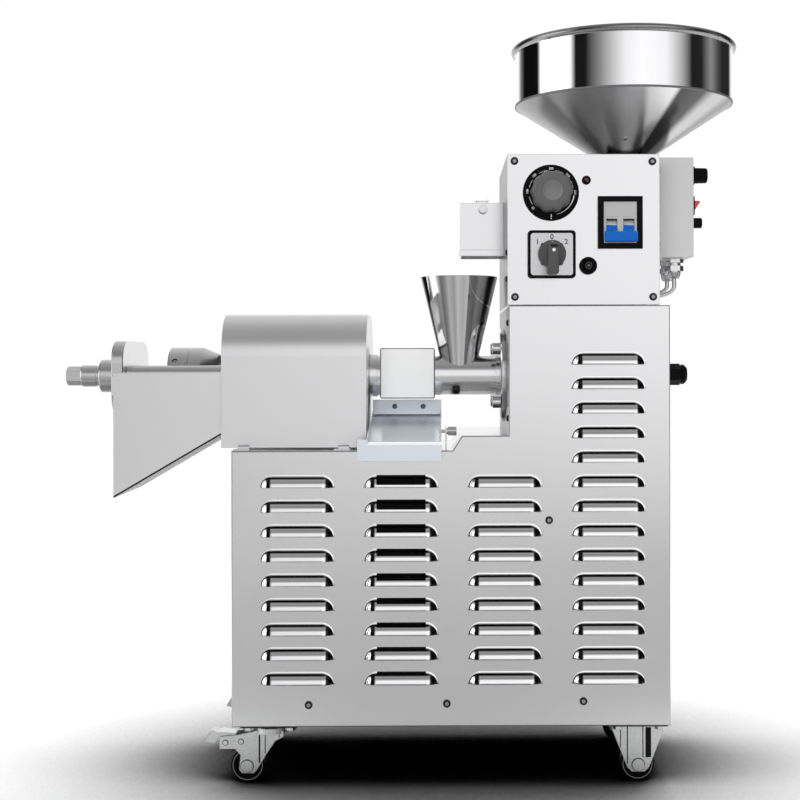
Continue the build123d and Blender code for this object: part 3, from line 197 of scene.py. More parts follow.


# painted shade: faces that look down are darkened in the colour
PAINTED_UNDERSIDE_SHADE = ((2, ((-1.0, 0.22), (-0.6, 0.26), (-0.1, 0.9), (0.05, 1.0), (1.0, 1.0))),)
LOOK = {
    "satin_steel": surface("satin_steel", (0.83, 0.83, 0.835), 1.0, 0.20, streak=(14, 900, 900), rough_var=0.03, col_var=0.02, blotch=5, bump=0.05, edge=0.9, edge_col=(0.95, 0.95, 0.95)),
    "polished_steel": surface("polished_steel", (0.92, 0.92, 0.925), 1.0, 0.055, streak=(500, 500, 20), rough_var=0.02, col_var=0.015, blotch=14, bump=0.012, bump_mm=0.02),
    "grey_paint": surface("grey_paint", (0.60, 0.60, 0.60), 0.0, 0.42, col_var=0.03, grain=1400, bump=0.10, edge=0.9, edge_col=(0.74, 0.74, 0.74)),
    "machined_steel": surface("machined_steel", (0.74, 0.74, 0.745), 1.0, 0.22, streak=(1300, 30, 30), rough_var=0.03, col_var=0.03, bump=0.02, edge=0.6, edge_col=(0.9, 0.9, 0.9), shade=PAINTED_UNDERSIDE_SHADE),
    "heater_coat": surface("heater_coat", (0.84, 0.84, 0.84), 0.0, 0.38, col_var=0.015, grain=1600, bump=0.06, coat=0.15),
    "tray_steel": surface("tray_steel", (0.70, 0.745, 0.80), 0.45, 0.20, streak=(900, 16, 900), rough_var=0.04, col_var=0.03, bump=0.04, edge=0.7, edge_col=(0.93, 0.95, 0.97)),
    "screw_steel": surface("screw_steel", (0.78, 0.78, 0.79), 1.0, 0.20, rough_var=0.06, col_var=0.06, blotch=60, fine=2500, bump=0.05, edge=0.35, shade=PAINTED_UNDERSIDE_SHADE),
    "zinc_plate": surface("zinc_plate", (0.74, 0.745, 0.75), 1.0, 0.27, rough_var=0.07, col_var=0.07, blotch=45, fine=1800, bump=0.08, edge=0.6, edge_col=(0.92, 0.92, 0.92), shade=PAINTED_UNDERSIDE_SHADE),
    "black_plastic": surface("black_plastic", (0.0035, 0.0035, 0.004), 0.0, 0.36, spec=0.06, col_var=0.25, grain=2200, rough_var=0.08, bump=0.10, edge=0.5, edge_col=(0.03, 0.03, 0.03)),
    "grey_plastic": surface("grey_plastic", (0.46, 0.46, 0.45), 0.0, 0.40, col_var=0.03, grain=2400, bump=0.08, edge=0.4),
    "blue_plastic": surface("blue_plastic", (0.004, 0.115, 0.50), 0.0, 0.28, spec=0.15, col_var=0.08, grain=2000, bump=0.05, edge=0.7, edge_col=(0.06, 0.28, 0.80)),
    "red_plastic": surface("red_plastic", (0.60, 0.035, 0.03), 0.0, 0.28, col_var=0.08, grain=2000, bump=0.05, coat=0.25, edge=0.5, edge_col=(0.8, 0.16, 0.12)),
    "lamp_lens": surface("lamp_lens", (0.045, 0.003, 0.006), 0.0, 0.14, col_var=0.2, fine=500, bump=0.05, coat=0.6),
    "cable_jacket": surface("cable_jacket", (0.66, 0.66, 0.66), 0.7, 0.18, col_var=0.04, grain=1500, bump=0.05, coat=0.5),
    "wheel_rubber": surface("wheel_rubber", (0.003, 0.003, 0.0033), 0.0, 0.42, spec=0.04, col_var=0.3, blotch=40, grain=1200, rough_var=0.12, bump=0.15, edge=0.6, edge_col=(0.015, 0.015, 0.015)),
    "cast_housing": surface("cast_housing", (0.20, 0.21, 0.215), 0.2, 0.55, col_var=0.12, grain=500, bump=0.35, bump_mm=0.2),
    "gear_steel": surface("gear_steel", (0.46, 0.46, 0.47), 1.0, 0.28, streak=(1200, 40, 40), col_var=0.08, bump=0.08),
    "motor_paint": surface("motor_paint", (0.10, 0.15, 0.21), 0.0, 0.40, col_var=0.08, grain=700, bump=0.15, edge=0.8, edge_col=(0.25, 0.3, 0.35)),
    "belt_rubber": surface("belt_rubber", (0.02, 0.02, 0.02), 0.0, 0.7, col_var=0.3, grain=900, bump=0.2),
    # finishes that share a slot with one above
    "barrel_steel": surface("barrel_steel", (0.82, 0.82, 0.825), 1.0, 0.16, streak=(1300, 30, 30), rough_var=0.02, col_var=0.03, bump=0.01, edge=0.6, edge_col=(0.9, 0.9, 0.9)),
    # painted reflections: dark crescents at the louvre ends and a dark line under the upper edge, set by face
    # direction
    "louvre_painted_reflections": surface("louvre_painted_reflections", (0.92, 0.92, 0.925), 1.0, 0.10, streak=(14, 900, 900), rough_var=0.02, col_var=0.02, blotch=5, bump=0.01,
                            shade=((0, ((-1.0, 1.0), (-0.50, 1.0), (-0.42, 0.03), (-0.20, 0.03), (-0.10, 1.0), (0.24, 1.0), (0.36, 0.03), (1.0, 0.03))),
                                   (2, ((-1.0, 1.0), (0.60, 1.0), (0.68, 0.03), (1.0, 0.03))))),
    # painted dark reflection: near-black steel for the upper rings of the front's second louvre column
    "louvre_painted_dark_reflection": surface("louvre_painted_dark_reflection", (0.012, 0.012, 0.012), 1.0, 0.16, streak=(14, 900, 900), rough_var=0.02, col_var=0.2, blotch=5, bump=0.01),
    # painted shade: darker matte copy of the chute steel for its downward faces
    "chute_underside_painted_shade": surface("chute_underside_painted_shade", (0.70, 0.70, 0.705), 0.0, 0.60, spec=0.0, streak=(14, 900, 900), rough_var=0.04, col_var=0.03, blotch=5, bump=0.04),
    "panel_screw": surface("panel_screw", (0.40, 0.40, 0.405), 0.8, 0.34, rough_var=0.06, col_var=0.08, blotch=60, fine=2500, bump=0.05),
    # painted highlight: bright finish for the strip on the drip tray's bend
    "tray_bend_painted_highlight": surface("tray_bend_painted_highlight", (0.90, 0.92, 0.95), 0.3, 0.30, rough_var=0.04, col_var=0.04, blotch=30, bump=0.03),
    # painted shade: darker copy of the satin steel for the sheets' rolled edges
    "panel_edge_painted_shade": surface("panel_edge_painted_shade", (0.60, 0.60, 0.605), 1.0, 0.30, streak=(14, 900, 900), rough_var=0.04, col_var=0.03, blotch=5, bump=0.04),
    "wheel_ring": surface("wheel_ring", (0.22, 0.22, 0.222), 0.3, 0.40, rough_var=0.06, col_var=0.10, blotch=60, bump=0.05),
    # painted shade for the forks' folds and the rings round their axles and rivets
    "fold_painted_shade": surface("fold_painted_shade", (0.008, 0.008, 0.008), 0.0, 0.60, spec=0.05, rough_var=0.06, col_var=0.15, blotch=60, bump=0.05),
    "hood_steel": surface("hood_steel", (0.92, 0.92, 0.925), 1.0, 0.34, streak=(14, 900, 900), rough_var=0.04, col_var=0.02, blotch=5, bump=0.05, edge=0.9, edge_col=(0.95, 0.95, 0.95)),
    # painted shade: darker copy of the satin steel for left-facing sides
    "shaded_steel": surface("shaded_steel", (0.32, 0.32, 0.325), 1.0, 0.32, streak=(14, 900, 900), rough_var=0.04, col_var=0.03, blotch=5, bump=0.05),
    # painted reflections: dark and light bands round the hopper's cone, set by face direction
    "cone_painted_reflections": surface("cone_painted_reflections", (0.84, 0.84, 0.845), 1.0, 0.24, streak=(500, 500, 20), rough_var=0.03, col_var=0.05, blotch=14, bump=0.02, bump_mm=0.02,
                          shade=((0, ((-1.0, 0.40), (-0.54, 0.40), (-0.50, 0.30), (-0.43, 0.30), (-0.40, 0.62), (-0.22, 0.68), (-0.05, 1.0), (0.19, 0.95), (0.215, 0.10),
                                      (0.34, 0.12), (0.40, 0.62), (0.46, 0.66), (0.505, 0.30), (1.0, 0.30))),)),
    # painted shade: darker copy of the hopper's polished steel for its rolled rim
    "rim_painted_shade": surface("rim_painted_shade", (0.34, 0.34, 0.345), 1.0, 0.22, streak=(500, 500, 20), rough_var=0.03, col_var=0.04, blotch=14, bump=0.02, bump_mm=0.02),
    # painted reflections: dark and light streaks round the feed funnel, set by face direction
    "funnel_painted_reflections": surface("funnel_painted_reflections", (0.92, 0.92, 0.925), 1.0, 0.075, streak=(500, 500, 20), rough_var=0.03, col_var=0.05, blotch=14, bump=0.02, bump_mm=0.02,
                            shade=((0, ((-1.0, 0.03), (-0.90, 0.03), (-0.85, 1.0), (-0.56, 1.0), (-0.50, 0.30), (-0.40, 0.45), (-0.30, 0.85), (-0.16, 0.62), (-0.05, 1.0), (0.10, 0.80),
                                        (0.20, 1.0), (0.42, 0.60), (0.50, 1.0), (0.70, 1.0), (0.76, 0.15), (0.84, 0.15), (0.90, 1.0), (1.0, 0.7))),)),
    # painted reflection: dark finish for the heater block's rounded edges
    "heater_fillet_painted_reflection": surface("heater_fillet_painted_reflection", (0.16, 0.16, 0.16), 0.0, 0.45, col_var=0.08, grain=1600, bump=0.06),
    "cam_grip": surface("cam_grip", (0.062, 0.062, 0.064), 0.0, 0.44, col_var=0.08, grain=1800, bump=0.12),
    "dull_screw": surface("dull_screw", (0.20, 0.20, 0.205), 0.6, 0.45, col_var=0.08, grain=1800, bump=0.10),
    "dark_grip": surface("dark_grip", (0.095, 0.095, 0.097), 0.0, 0.46, col_var=0.08, grain=1800, bump=0.12, edge=0.6, edge_col=(0.2, 0.2, 0.2)),
    "dial_dish": surface("dial_dish", (0.17, 0.17, 0.172), 0.0, 0.40, col_var=0.08, grain=1800, bump=0.10),
    "switch_plate": surface("switch_plate", (0.70, 0.70, 0.71), 1.0, 0.32, streak=(30, 1500, 1500), rough_var=0.05, col_var=0.04, bump=0.06),
    "print_white": surface("print_white", (0.80, 0.80, 0.79), 0.0, 0.5, col_var=0.06, blotch=200, bump=0.05),
    "print_dark": surface("print_dark", (0.06, 0.06, 0.065), 0.0, 0.5, col_var=0.2, blotch=200, bump=0.05),
    # black finish of screws and plugs, also used as painted shadow on the casters' top plates
    "black_oxide_and_painted_shadow": surface("black_oxide_and_painted_shadow", (0.018, 0.018, 0.019), 0.5, 0.32, col_var=0.2, blotch=80, grain=2500, bump=0.08),
    # painted shade for a notch and for the chute's seam
    "painted_gap_shade": surface("painted_gap_shade", (0.006, 0.006, 0.006), 0.0, 0.8, col_var=0.3, blotch=100, bump=0.05),
}
SLOT = {s["node"]: s["material_slot"] for s in frame["record"]["subparts"]}
for n, o in NODES.items():
    o.data.materials.clear()
    o.data.materials.append(LOOK[SLOT[n]])


# ------------------------------------------------------------------ mesh helpers
def mesh_piece(name, bm, look, body="cabinet", smooth=None, coords_mm=True):
    if coords_mm:
        for v in bm.verts:
            v.co = (v.co + SHIFT) / 1000.0
    me = bpy.data.meshes.new(name)
    bm.to_mesh(me)
    bm.free()
    o = bpy.data.objects.new(name, me)
    scene.collection.objects.link(o)
    me.materials.append(LOOK[look])
    if smooth is not None:
        me.polygons.foreach_set("use_smooth", [True] * len(me.polygons))
        me.set_sharp_from_angle(angle=math.radians(smooth))
    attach(o, body)
    return o


def grid(bm, rows, close=False):
    """Quads over rows of points, all rows alike in length."""
    made = [[bm.verts.new(p) for p in r] for r in rows]
    for a, b in zip(made, made[1:]):
        n = len(a)
        for i in range(n if close else n - 1):
            j = (i + 1) % n
            bm.faces.new((a[i], a[j], b[j], b[i]))
    return made


def turned(bm, prof, place, seg=40, cap0=True, cap1=True):
    """(r, h) profile turned about the local z of matrix place (mm)."""
    rows = []
    for r, h in prof:
        rows.append([place @ Vector((r * math.cos(2 * math.pi * i / seg), r * math.sin(2 * math.pi * i / seg), h)) for i in range(seg)])
    made = grid(bm, rows, close=True)
    if cap0:
        bm.faces.new(list(reversed(made[0])))
    if cap1:
        bm.faces.new(made[-1])
    return made


def facing(x, y, z, d):
    """Matrix with local z along d and origin at (x, y, z)."""
    return Matrix.Translation((x, y, z)) @ Vector(d).to_track_quat("Z", "Y").to_matrix().to_4x4()


# ------------------------------------------------------------------ louvred panels
CAB_X, CAB_Y, CAB_BOTTOM = 239.0, 110.0, 66.0
DECK_LOW, DECK_HIGH, TOWER_X0, TOWER_TOP, STEP_X0, STEP_X1 = 366.0, 382.0, 63.0, 524.0, 2.0, 12.0
PANEL = [(-CAB_X, CAB_BOTTOM), (CAB_X, CAB_BOTTOM), (CAB_X, TOWER_TOP), (TOWER_X0, TOWER_TOP),
         (TOWER_X0, DECK_HIGH), (STEP_X1, DECK_HIGH), (STEP_X0, DECK_LOW), (-CAB_X, DECK_LOW)]
PANEL_SCREWS = [(106.7, 290.0), (-155.2, 90.0), (-5.0, 91.0), (143.7, 93.0)]
LV_COLS, LV_TALL, LV_Z0, LV_PITCH = (-167.3, -54.3, 58.7), 171.7, 326.0, 26.7
LV_LEN, LV_R, LV_SET, LV_MAX = 76.6, 13.6, 7.1, 14.2
LV_FOOT = math.sqrt(LV_R ** 2 - LV_SET ** 2)
LV_HALF = LV_LEN / 2 - LV_FOOT
# ring radius, row by row, from which the front's second louvre column is painted near-black as a dark reflection
LV_PAINTED_DARK_REFLECTION_FROM = (3.2, 3.2, 4.8, 6.2, 6.2, 7.4, 8.4, 9.3, 10.0)


def offset_outline(pts, d):
    """Outline moved inward by d; points run anticlockwise."""
    out = []
    n = len(pts)
    for i in range(n):
        a, b, c = (Vector(pts[i - 1]), Vector(pts[i]), Vector(pts[(i + 1) % n]))
        d1, d2 = (b - a).normalized(), (c - b).normalized()
        n1, n2 = Vector((-d1.y, d1.x)), Vector((-d2.y, d2.x))
        k = d / (1 + n1.dot(n2))
        out.append(tuple(b + (n1 + n2) * k))
    return out


def louvre_depth(r):
    cap = math.sqrt(max(0.0, LV_R ** 2 - r ** 2)) - LV_SET
    k = 1.25
    d = 0.5 * (cap + math.sqrt(cap * cap + k * k))
    t = min(1.0, max(0.0, (r - 12.4) / (LV_MAX - 12.4)))
    return d * (1 - t * t * (3 - 2 * t)) * 0.985


def louvre_stations():
    st = [("l", math.radians(a)) for a in (0, 9, 19, 30, 41, 52, 63, 74, 83)]
    st += [("s", -LV_HALF + 2 * LV_HALF * i / 12) for i in range(13)]
    st += [("r", math.radians(a)) for a in (83, 74, 63, 52, 41, 30, 19, 9, 0)]
    return st


RINGS = (0, 1.6, 3.2, 4.8, 6.2, 7.4, 8.4, 9.3, 10.0, 10.6, 11.1, 11.55, 12.0, 12.5, 13.1, 13.7, LV_MAX)


def louvre_point(st, r):
    kind, v = st
    if kind == "l":
        return (-LV_HALF - r * math.cos(v), r * math.sin(v))
    if kind == "r":
        return (LV_HALF + r * math.cos(v), r * math.sin(v))
    return (v, r)


def louvred_panel(name, node, rows, side):
    """side -1 is the front, +1 the back; the sheet is 1.2 mm with rolled outer edges."""
    stations = louvre_stations()
    edge_r = 1.4
    inner = offset_outline(PANEL, edge_r)
    verts, edges = [], []

    def loop(points):
        base = len(verts)
        verts.extend(Vector(p) for p in points)
        edges.extend((base + i, base + (i + 1) % len(points)) for i in range(len(points)))

    loop(inner)
    for x, z in rows:
        loop([(x + a, z + b) for a, b in (louvre_point(s, LV_MAX) for s in stations)])
    for x, z in PANEL_SCREWS:
        loop([(x + 2.2 * math.cos(math.pi * i / 8), z + 2.2 * math.sin(math.pi * i / 8)) for i in range(16)])
    co, _, faces, *_ = delaunay_2d_cdt(verts, edges, [], 1, 1e-6)

    def in_hole(p):
        for x, z in rows:
            h, e = p.y - z, max(0.0, abs(p.x - x) - LV_HALF)
            if h > 0 and e * e + h * h < LV_MAX ** 2:
                return True
        return any((p.x - x) ** 2 + (p.y - z) ** 2 < 2.2 ** 2 for x, z in PANEL_SCREWS)

    def inside(p):
        hit = False
        for i in range(len(inner)):
            a, b = inner[i - 1], inner[i]
            if (a[1] > p.y) != (b[1] > p.y) and p.x < (b[0] - a[0]) * (p.y - a[1]) / (b[1] - a[1]) + a[0]:
                hit = not hit
        return hit

    bm = bmesh.new()
    flat = [bm.verts.new((v.x, side * CAB_Y, v.y)) for v in co]
    for f in faces:
        c = sum((co[i] for i in f), Vector((0, 0))) / len(f)
        if inside(c) and not in_hole(c):
            bm.faces.new([flat[i] for i in f])
    for v in [v for v in flat if not v.link_faces]:
        bm.verts.remove(v)
    flat_faces = len(bm.faces)
    for x, z in rows:
        pts = []
        for r in RINGS:
            d = louvre_depth(r)
            pts.append([(x + a, side * (CAB_Y + d), z + b) for a, b in (louvre_point(s, r) for s in stations)])
        grid(bm, pts)
    strip = []
    for k in range(5):
        a = math.pi / 2 * k / 4
        ring = offset_outline(PANEL, edge_r * (1 - math.sin(a)))
        strip.append([(u, side * (CAB_Y - edge_r * (1 - math.cos(a))), v) for u, v in ring])
    grid(bm, strip, close=True)
    bmesh.ops.remove_doubles(bm, verts=bm.verts, dist=0.002)
    bmesh.ops.recalc_face_normals(bm, faces=bm.faces)
    if sum(f.normal.y * f.calc_area() for f in bm.faces) * side < 0:
        bmesh.ops.reverse_faces(bm, faces=bm.faces)
    o = mesh_piece(name, bm, "satin_steel", smooth=35)
    for f in o.data.polygons:
        if abs(f.normal.y) > 0.99999 and abs(abs(f.center.y * 1000.0 - SHIFT.y) - CAB_Y) < 0.01:
            f.use_smooth = False
    # louvre faces take the painted reflections, the upper rings of the front's second column the painted dark
    # reflection, and the rolled edges the painted-shade steel
    for look in ("louvre_painted_reflections", "louvre_painted_dark_reflection", "panel_edge_painted_shade"):
        o.data.materials.append(LOOK[look])
    for f in o.data.polygons:
        c = f.center * 1000.0 - SHIFT
        if abs(c.y) < CAB_Y - 0.02:
            f.material_index = 3
        elif abs(c.y) > CAB_Y + 0.02:
            f.material_index = 1
            if side < 0 and abs(c.x - LV_COLS[1]) < LV_HALF:
                k = round((LV_Z0 + 7.0 - c.z) / LV_PITCH)
                if LV_R > c.z - (LV_Z0 - LV_PITCH * k) > LV_PAINTED_DARK_REFLECTION_FROM[k]:
                    f.material_index = 2
    sol = o.modifiers.new("sheet", "SOLIDIFY")
    sol.thickness, sol.offset, sol.use_even_offset = 0.0012, -1.0, True
    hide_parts(node)
    return o


front_rows = [(x, LV_Z0 - LV_PITCH * k) for x in LV_COLS for k in range(9)] + [(LV_TALL, LV_Z0 - LV_PITCH * k) for k in range(-5, 9)]
rear_rows = [(x, LV_Z0 - LV_PITCH * k) for x in (-167.3, -54.3, LV_TALL) for k in range(9)]
louvred_panel("front_sheet", "front_panel", front_rows, -1)
louvred_panel("rear_sheet", "rear_panel", rear_rows, 1)

# ------------------------------------------------------------------ second finishes on faces of CAD pieces: painted shade and reflections, and a few real finishes
BOX_SCREWS = [(69.7, 681.0), (220.0, 680.5), (70.0, 533.0), (220.6, 533.0)]


def split_faces(node, look, test):
    """Faces of a CAD node whose centre (mm, working frame) passes the test take another finish."""
    me = NODES[node].data
    me.materials.append(LOOK[look])
    k = len(me.materials) - 1
    for p in me.polygons:
        if test(p.center * 1000.0 - SHIFT, p.normal):
            p.material_index = k


split_faces("panel_screws", "dull_screw", lambda c, n: abs(c.y) < 100)
# painted shade: the left faces of the control box and tower take the darker steel
split_faces("control_box_shell", "shaded_steel", lambda c, n: n.x < -0.9 and c.x < 63.0)
split_faces("tower_left_plate", "shaded_steel", lambda c, n: n.x < -0.9)
# painted reflection: the heater block's rounded edges take the dark finish
split_faces("heater_block", "heater_fillet_painted_reflection", lambda c, n: n.y < 0.55 and max(abs(n.x), abs(n.y), abs(n.z)) < 0.998 and n.y > -0.88 and (c.y + 0.0) ** 2 + (c.z - 447.0) ** 2 > 24.0 ** 2)
PIV = (-103.0, 608.0)
split_faces("breaker_toggle", "grey_plastic", lambda c, n: math.hypot(c.y - PIV[0], c.z - PIV[1]) < 9.3 and (c.z - PIV[1] > 3.0 or c.y > PIV[0]))
NODES["hood"].data.materials[0] = LOOK["hood_steel"]
NODES["panel_screws"].data.materials[0] = LOOK["panel_screw"]
NODES["press_barrel"].data.materials[0] = LOOK["barrel_steel"]
NODES["cake_chute"].data.materials[0] = LOOK["hood_steel"]
# the chute's downward faces take the darker matte copy as painted shade
split_faces("cake_chute", "chute_underside_painted_shade", lambda c, n: n.z < -0.5)
# painted shadow: side faces of the casters' top plates take the black finish where the cabinet's edge shades them
split_faces("swivel_caster_plates", "black_oxide_and_painted_shadow", lambda c, n: c.z > 63.5 and n.z < 0.5)
split_faces("rigid_caster_forks", "black_oxide_and_painted_shadow", lambda c, n: c.z > 63.9 and n.z < 0.5)
# the feed funnel takes the painted reflection streaks
NODES["feed_funnel"].data.materials[0] = LOOK["funnel_painted_reflections"]
# the hopper's cone takes the painted reflection bands
split_faces("hopper", "cone_painted_reflections", lambda c, n: n.z < -0.5 and 692.0 < c.z < 760.0)
# the hopper's rim takes the darker painted shade
split_faces("hopper", "rim_painted_shade", lambda c, n: math.hypot(c.x - 202.5, c.y) > 126.1)
DIAL = (109.3, 646.3)

# black collars round the panel screws
bm = bmesh.new()
for x, z, side in [(x, z, -1) for x, z in PANEL_SCREWS + BOX_SCREWS] + [(x, z, 1) for x, z in PANEL_SCREWS]:
    turned(bm, [(2.05, 0.9), (2.05, 2.3), (2.6, 2.5), (3.6, 2.2), (4.25, 1.4), (4.3, 0.0)], facing(x, side * CAB_Y, z, (0, side, 0)), 28, False, False)
bmesh.ops.recalc_face_normals(bm, faces=bm.faces)
mesh_piece("screw_collars", bm, "black_oxide_and_painted_shadow", "cabinet", smooth=40)

# thermostat knob: a black skirt and a lobed grip with a dished face
bm = bmesh.new()
dial_m = facing(DIAL[0], -CAB_Y, DIAL[1], (0, -1, 0))
turned(bm, [(30.3, 0.6), (30.5, 0.9), (30.5, 2.2), (30.1, 2.9), (29.4, 3.4), (22.4, 5.8), (19.5, 5.9)], dial_m, 96, True, True)
bmesh.ops.recalc_face_normals(bm, faces=bm.faces)
mesh_piece("dial_skirt", bm, "black_plastic", "dial", smooth=30)
bm = bmesh.new()
rows = []
for r, amp, h in ((22.0, 0.75, 5.6), (21.9, 0.8, 7.0), (21.5, 0.85, 22.0), (21.2, 0.8, 24.0), (20.5, 0.7, 25.6), (19.4, 0.5, 26.6), (17.6, 0.2, 27.0), (11.6, 0.0, 27.0),
                  (10.8, 0.0, 26.85), (10.1, 0.0, 26.3), (8.6, 0.0, 24.9), (6.0, 0.0, 23.9), (3.0, 0.0, 23.5), (0.3, 0.0, 23.4)):
    rows.append([dial_m @ Vector(((r + amp * math.cos(10 * t)) * math.cos(t), (r + amp * math.cos(10 * t)) * math.sin(t), h)) for t in (2 * math.pi * i / 140 for i in range(140))])
made = grid(bm, rows, close=True)
bm.faces.new(made[-1])
bmesh.ops.recalc_face_normals(bm, faces=bm.faces)
o = mesh_piece("dial_grip", bm, "dark_grip", "dial", smooth=50)
o.data.materials.append(LOOK["dial_dish"])
for f in o.data.polygons:
    c = f.center * 1000.0 - SHIFT
    if math.hypot(c.x - DIAL[0], c.z - DIAL[1]) < 10.5:
        f.material_index = 1
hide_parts("thermostat_dial")

# ------------------------------------------------------------------ dial figures
def text_faces(s, size, bold=0.0):
    """Flat outline of a figure, centred, in mm."""
    cu = bpy.data.curves.new("figure", "FONT")
    cu.body = s
    cu.size = size
    cu.offset = bold
    cu.align_x, cu.align_y = "CENTER", "CENTER"
    cu.resolution_u = 3
    ob = bpy.data.objects.new("figure", cu)
    scene.collection.objects.link(ob)
    bpy.context.view_layer.update()
    me = bpy.data.meshes.new_from_object(ob.evaluated_get(bpy.context.evaluated_depsgraph_get()))
    bpy.data.objects.remove(ob)
    vs = [v.co.copy() for v in me.vertices]
    fs = [list(p.vertices) for p in me.polygons]
    bpy.data.meshes.remove(me)
    return vs, fs


def raise_faces(bm, vs, fs, put, thick):
    """Flat shape with a wall round it, put on a surface: put(x, y, h) gives the place at height h."""
    top = [bm.verts.new(put(v.x, v.y, thick)) for v in vs]
    low = [bm.verts.new(put(v.x, v.y, 0.0)) for v in vs]
    count = {}
    for f in fs:
        bm.faces.new([top[i] for i in f])
        for a, b in zip(f, f[1:] + f[:1]):
            count[(a, b)] = 1
    for a, b in count:
        if (b, a) not in count:
            bm.faces.new((top[b], top[a], low[a], low[b]))


def skirt_height(r):
    return 5.8 if r < 22.4 else 5.8 - (r - 22.4) * 2.4 / 7.0 if r < 29.4 else 3.4


def on_skirt(ang, rad):
    """Places a figure at angle ang (clockwise from the top) on the dial's sloping skirt."""
    ca, sa = math.cos(ang), math.sin(ang)

    def put(x, y, h):
        u, v = x, y + rad
        dx, dz = u * ca + v * sa, -u * sa + v * ca
        return Vector((DIAL[0] + dx, -CAB_Y - skirt_height(math.hypot(dx, dz)) - h + 0.03, DIAL[1] + dz))
    return put


bm = bmesh.new()
for ang, s in ((-131, "50"), (-88, "100"), (-45, "150"), (0, "200"), (44, "250"), (90, "300")):
    vs, fs = text_faces(s, 3.5)
    raise_faces(bm, vs, fs, on_skirt(math.radians(ang), 25.9), 0.16)


def dot_faces(w, h, n=10):
    return [Vector((w * math.cos(2 * math.pi * i / n), h * math.sin(2 * math.pi * i / n), 0)) for i in range(n)], [list(range(n))]


# index mark at the bottom of the skirt
raise_faces(bm, [Vector((-0.38, -2.2, 0)), Vector((0.38, -2.2, 0)), Vector((0.55, 1.0, 0)), Vector((-0.55, 1.0, 0))], [[0, 1, 2, 3]], on_skirt(math.pi, 25.9), 0.16)
vs, fs = dot_faces(0.6, 0.6)
raise_faces(bm, [v + Vector((0, 2.3, 0)) for v in vs], fs, on_skirt(math.pi, 25.9), 0.16)

for k in range(-30, 19):
    a = 4.5 * k
    if abs(a / 45 - round(a / 45)) < 0.26 and abs(k) % 10 != 5:
        continue
    vs, fs = dot_faces(0.42, 0.42) if k % 2 else dot_faces(0.30, 0.75)
    raise_faces(bm, vs, fs, on_skirt(math.radians(a), 24.2), 0.14)
arc_v, arc_f = [], []
for i in range(25):
    a, w = math.radians(98 + 68 * i / 24), 0.25 + 1.1 * (1 - i / 24)
    arc_v += [Vector(((24.4) * math.sin(a), 24.4 * math.cos(a), 0)), Vector(((24.4 + w) * math.sin(a), (24.4 + w) * math.cos(a), 0))]
for i in range(24):
    arc_f.append([2 * i, 2 * i + 1, 2 * i + 3, 2 * i + 2][::-1])
raise_faces(bm, arc_v, arc_f, lambda x, y, h: on_skirt(0.0, 0.0)(x, y, h), 0.12)
bmesh.ops.recalc_face_normals(bm, faces=bm.faces)
mesh_piece("dial_figures", bm, "print_white", "dial")

# ------------------------------------------------------------------ cam switch plate and marks
CAM, CAM_FACE = (109.9, 579.2), -115.5


def rounded(w, h, r, n=6):
    pts = []
    for cx, cy, a0 in ((w - r, h - r, 0), (-w + r, h - r, 90), (-w + r, -h + r, 180), (w - r, -h + r, 270)):
        pts += [(cx + r * math.cos(math.radians(a0 + 90 * i / n)), cy + r * math.sin(math.radians(a0 + 90 * i / n))) for i in range(n + 1)]
    return pts


bm = bmesh.new()
rows = []
for inset, dep in ((0.0, 0.0), (0.0, 0.25), (0.25, 0.45), (1.0, 0.48)):
    rows.append([(CAM[0] + a, CAM_FACE - dep + 0.02, CAM[1] + b) for a, b in rounded(23.0 - inset, 23.0 - inset, 3.2 - inset * 0.5)])
for rr in (16.2, 15.6):
    n = len(rows[0])
    ring = []
    for p in rows[3]:
        a = math.atan2(p[2] - CAM[1], p[0] - CAM[0])
        ring.append((CAM[0] + rr * math.cos(a), CAM_FACE - (0.46 if rr > 16 else 0.02), CAM[1] + rr * math.sin(a)))
    rows.append(ring)
grid(bm, rows, close=True)
bmesh.ops.recalc_face_normals(bm, faces=bm.faces)
mesh_piece("cam_face_plate", bm, "switch_plate", "cabinet")
bm = bmesh.new()
for s, dx, dz in (("1", -15.6, 13.2), ("0", 0.0, 18.6), ("2", 15.6, 13.2)):
    vs, fs = text_faces(s, 7.8, 0.16)
    raise_faces(bm, vs, fs, lambda x, y, h, dx=dx, dz=dz: Vector((CAM[0] + dx + x, CAM_FACE - 0.45 - h, CAM[1] + dz + y)), 0.1)
bmesh.ops.recalc_face_normals(bm, faces=bm.faces)
mesh_piece("cam_figures", bm, "print_dark", "cabinet")
LEVER = [(-4.6, -22.5), (4.6, -22.5), (5.5, -20), (5.5, 9), (3.5, 11.5), (-3.5, 11.5), (-5.5, 9), (-5.5, -20)]
bm = bmesh.new()
rows = []
for inset, h in ((0.0, 0.6), (0.0, 25.9), (0.25, 26.8), (0.8, 27.35), (1.5, 27.5)):
    rows.append([(CAM[0] + a, CAM_FACE - 0.5 - h, CAM[1] + b) for a, b in offset_outline(LEVER, inset)])
made = grid(bm, rows, close=True)
bm.faces.new(made[-1])
turned(bm, [(15.0, 0.5), (15.0, 5.4), (14.6, 6.4), (13.4, 7.1), (6.5, 7.2)], facing(CAM[0], CAM_FACE - 0.5, CAM[1], (0, -1, 0)), 64)
bmesh.ops.recalc_face_normals(bm, faces=bm.faces)
o = mesh_piece("cam_lever", bm, "cam_grip", "cam_handle", smooth=35)
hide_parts("cam_switch_handle")
bm = bmesh.new()
turned(bm, [(1.75, -0.05), (1.75, 0.12), (1.45, 0.28), (0.5, 0.32)], facing(CAM[0], CAM_FACE - 28.0, CAM[1] + 2.5, (0, -1, 0)), 24)
vs, fs = [Vector((-1.1, 0, 0)), Vector((1.1, 0, 0)), Vector((0.8, 2.6, 0)), Vector((-0.8, 2.6, 0))], [[0, 1, 2, 3]]
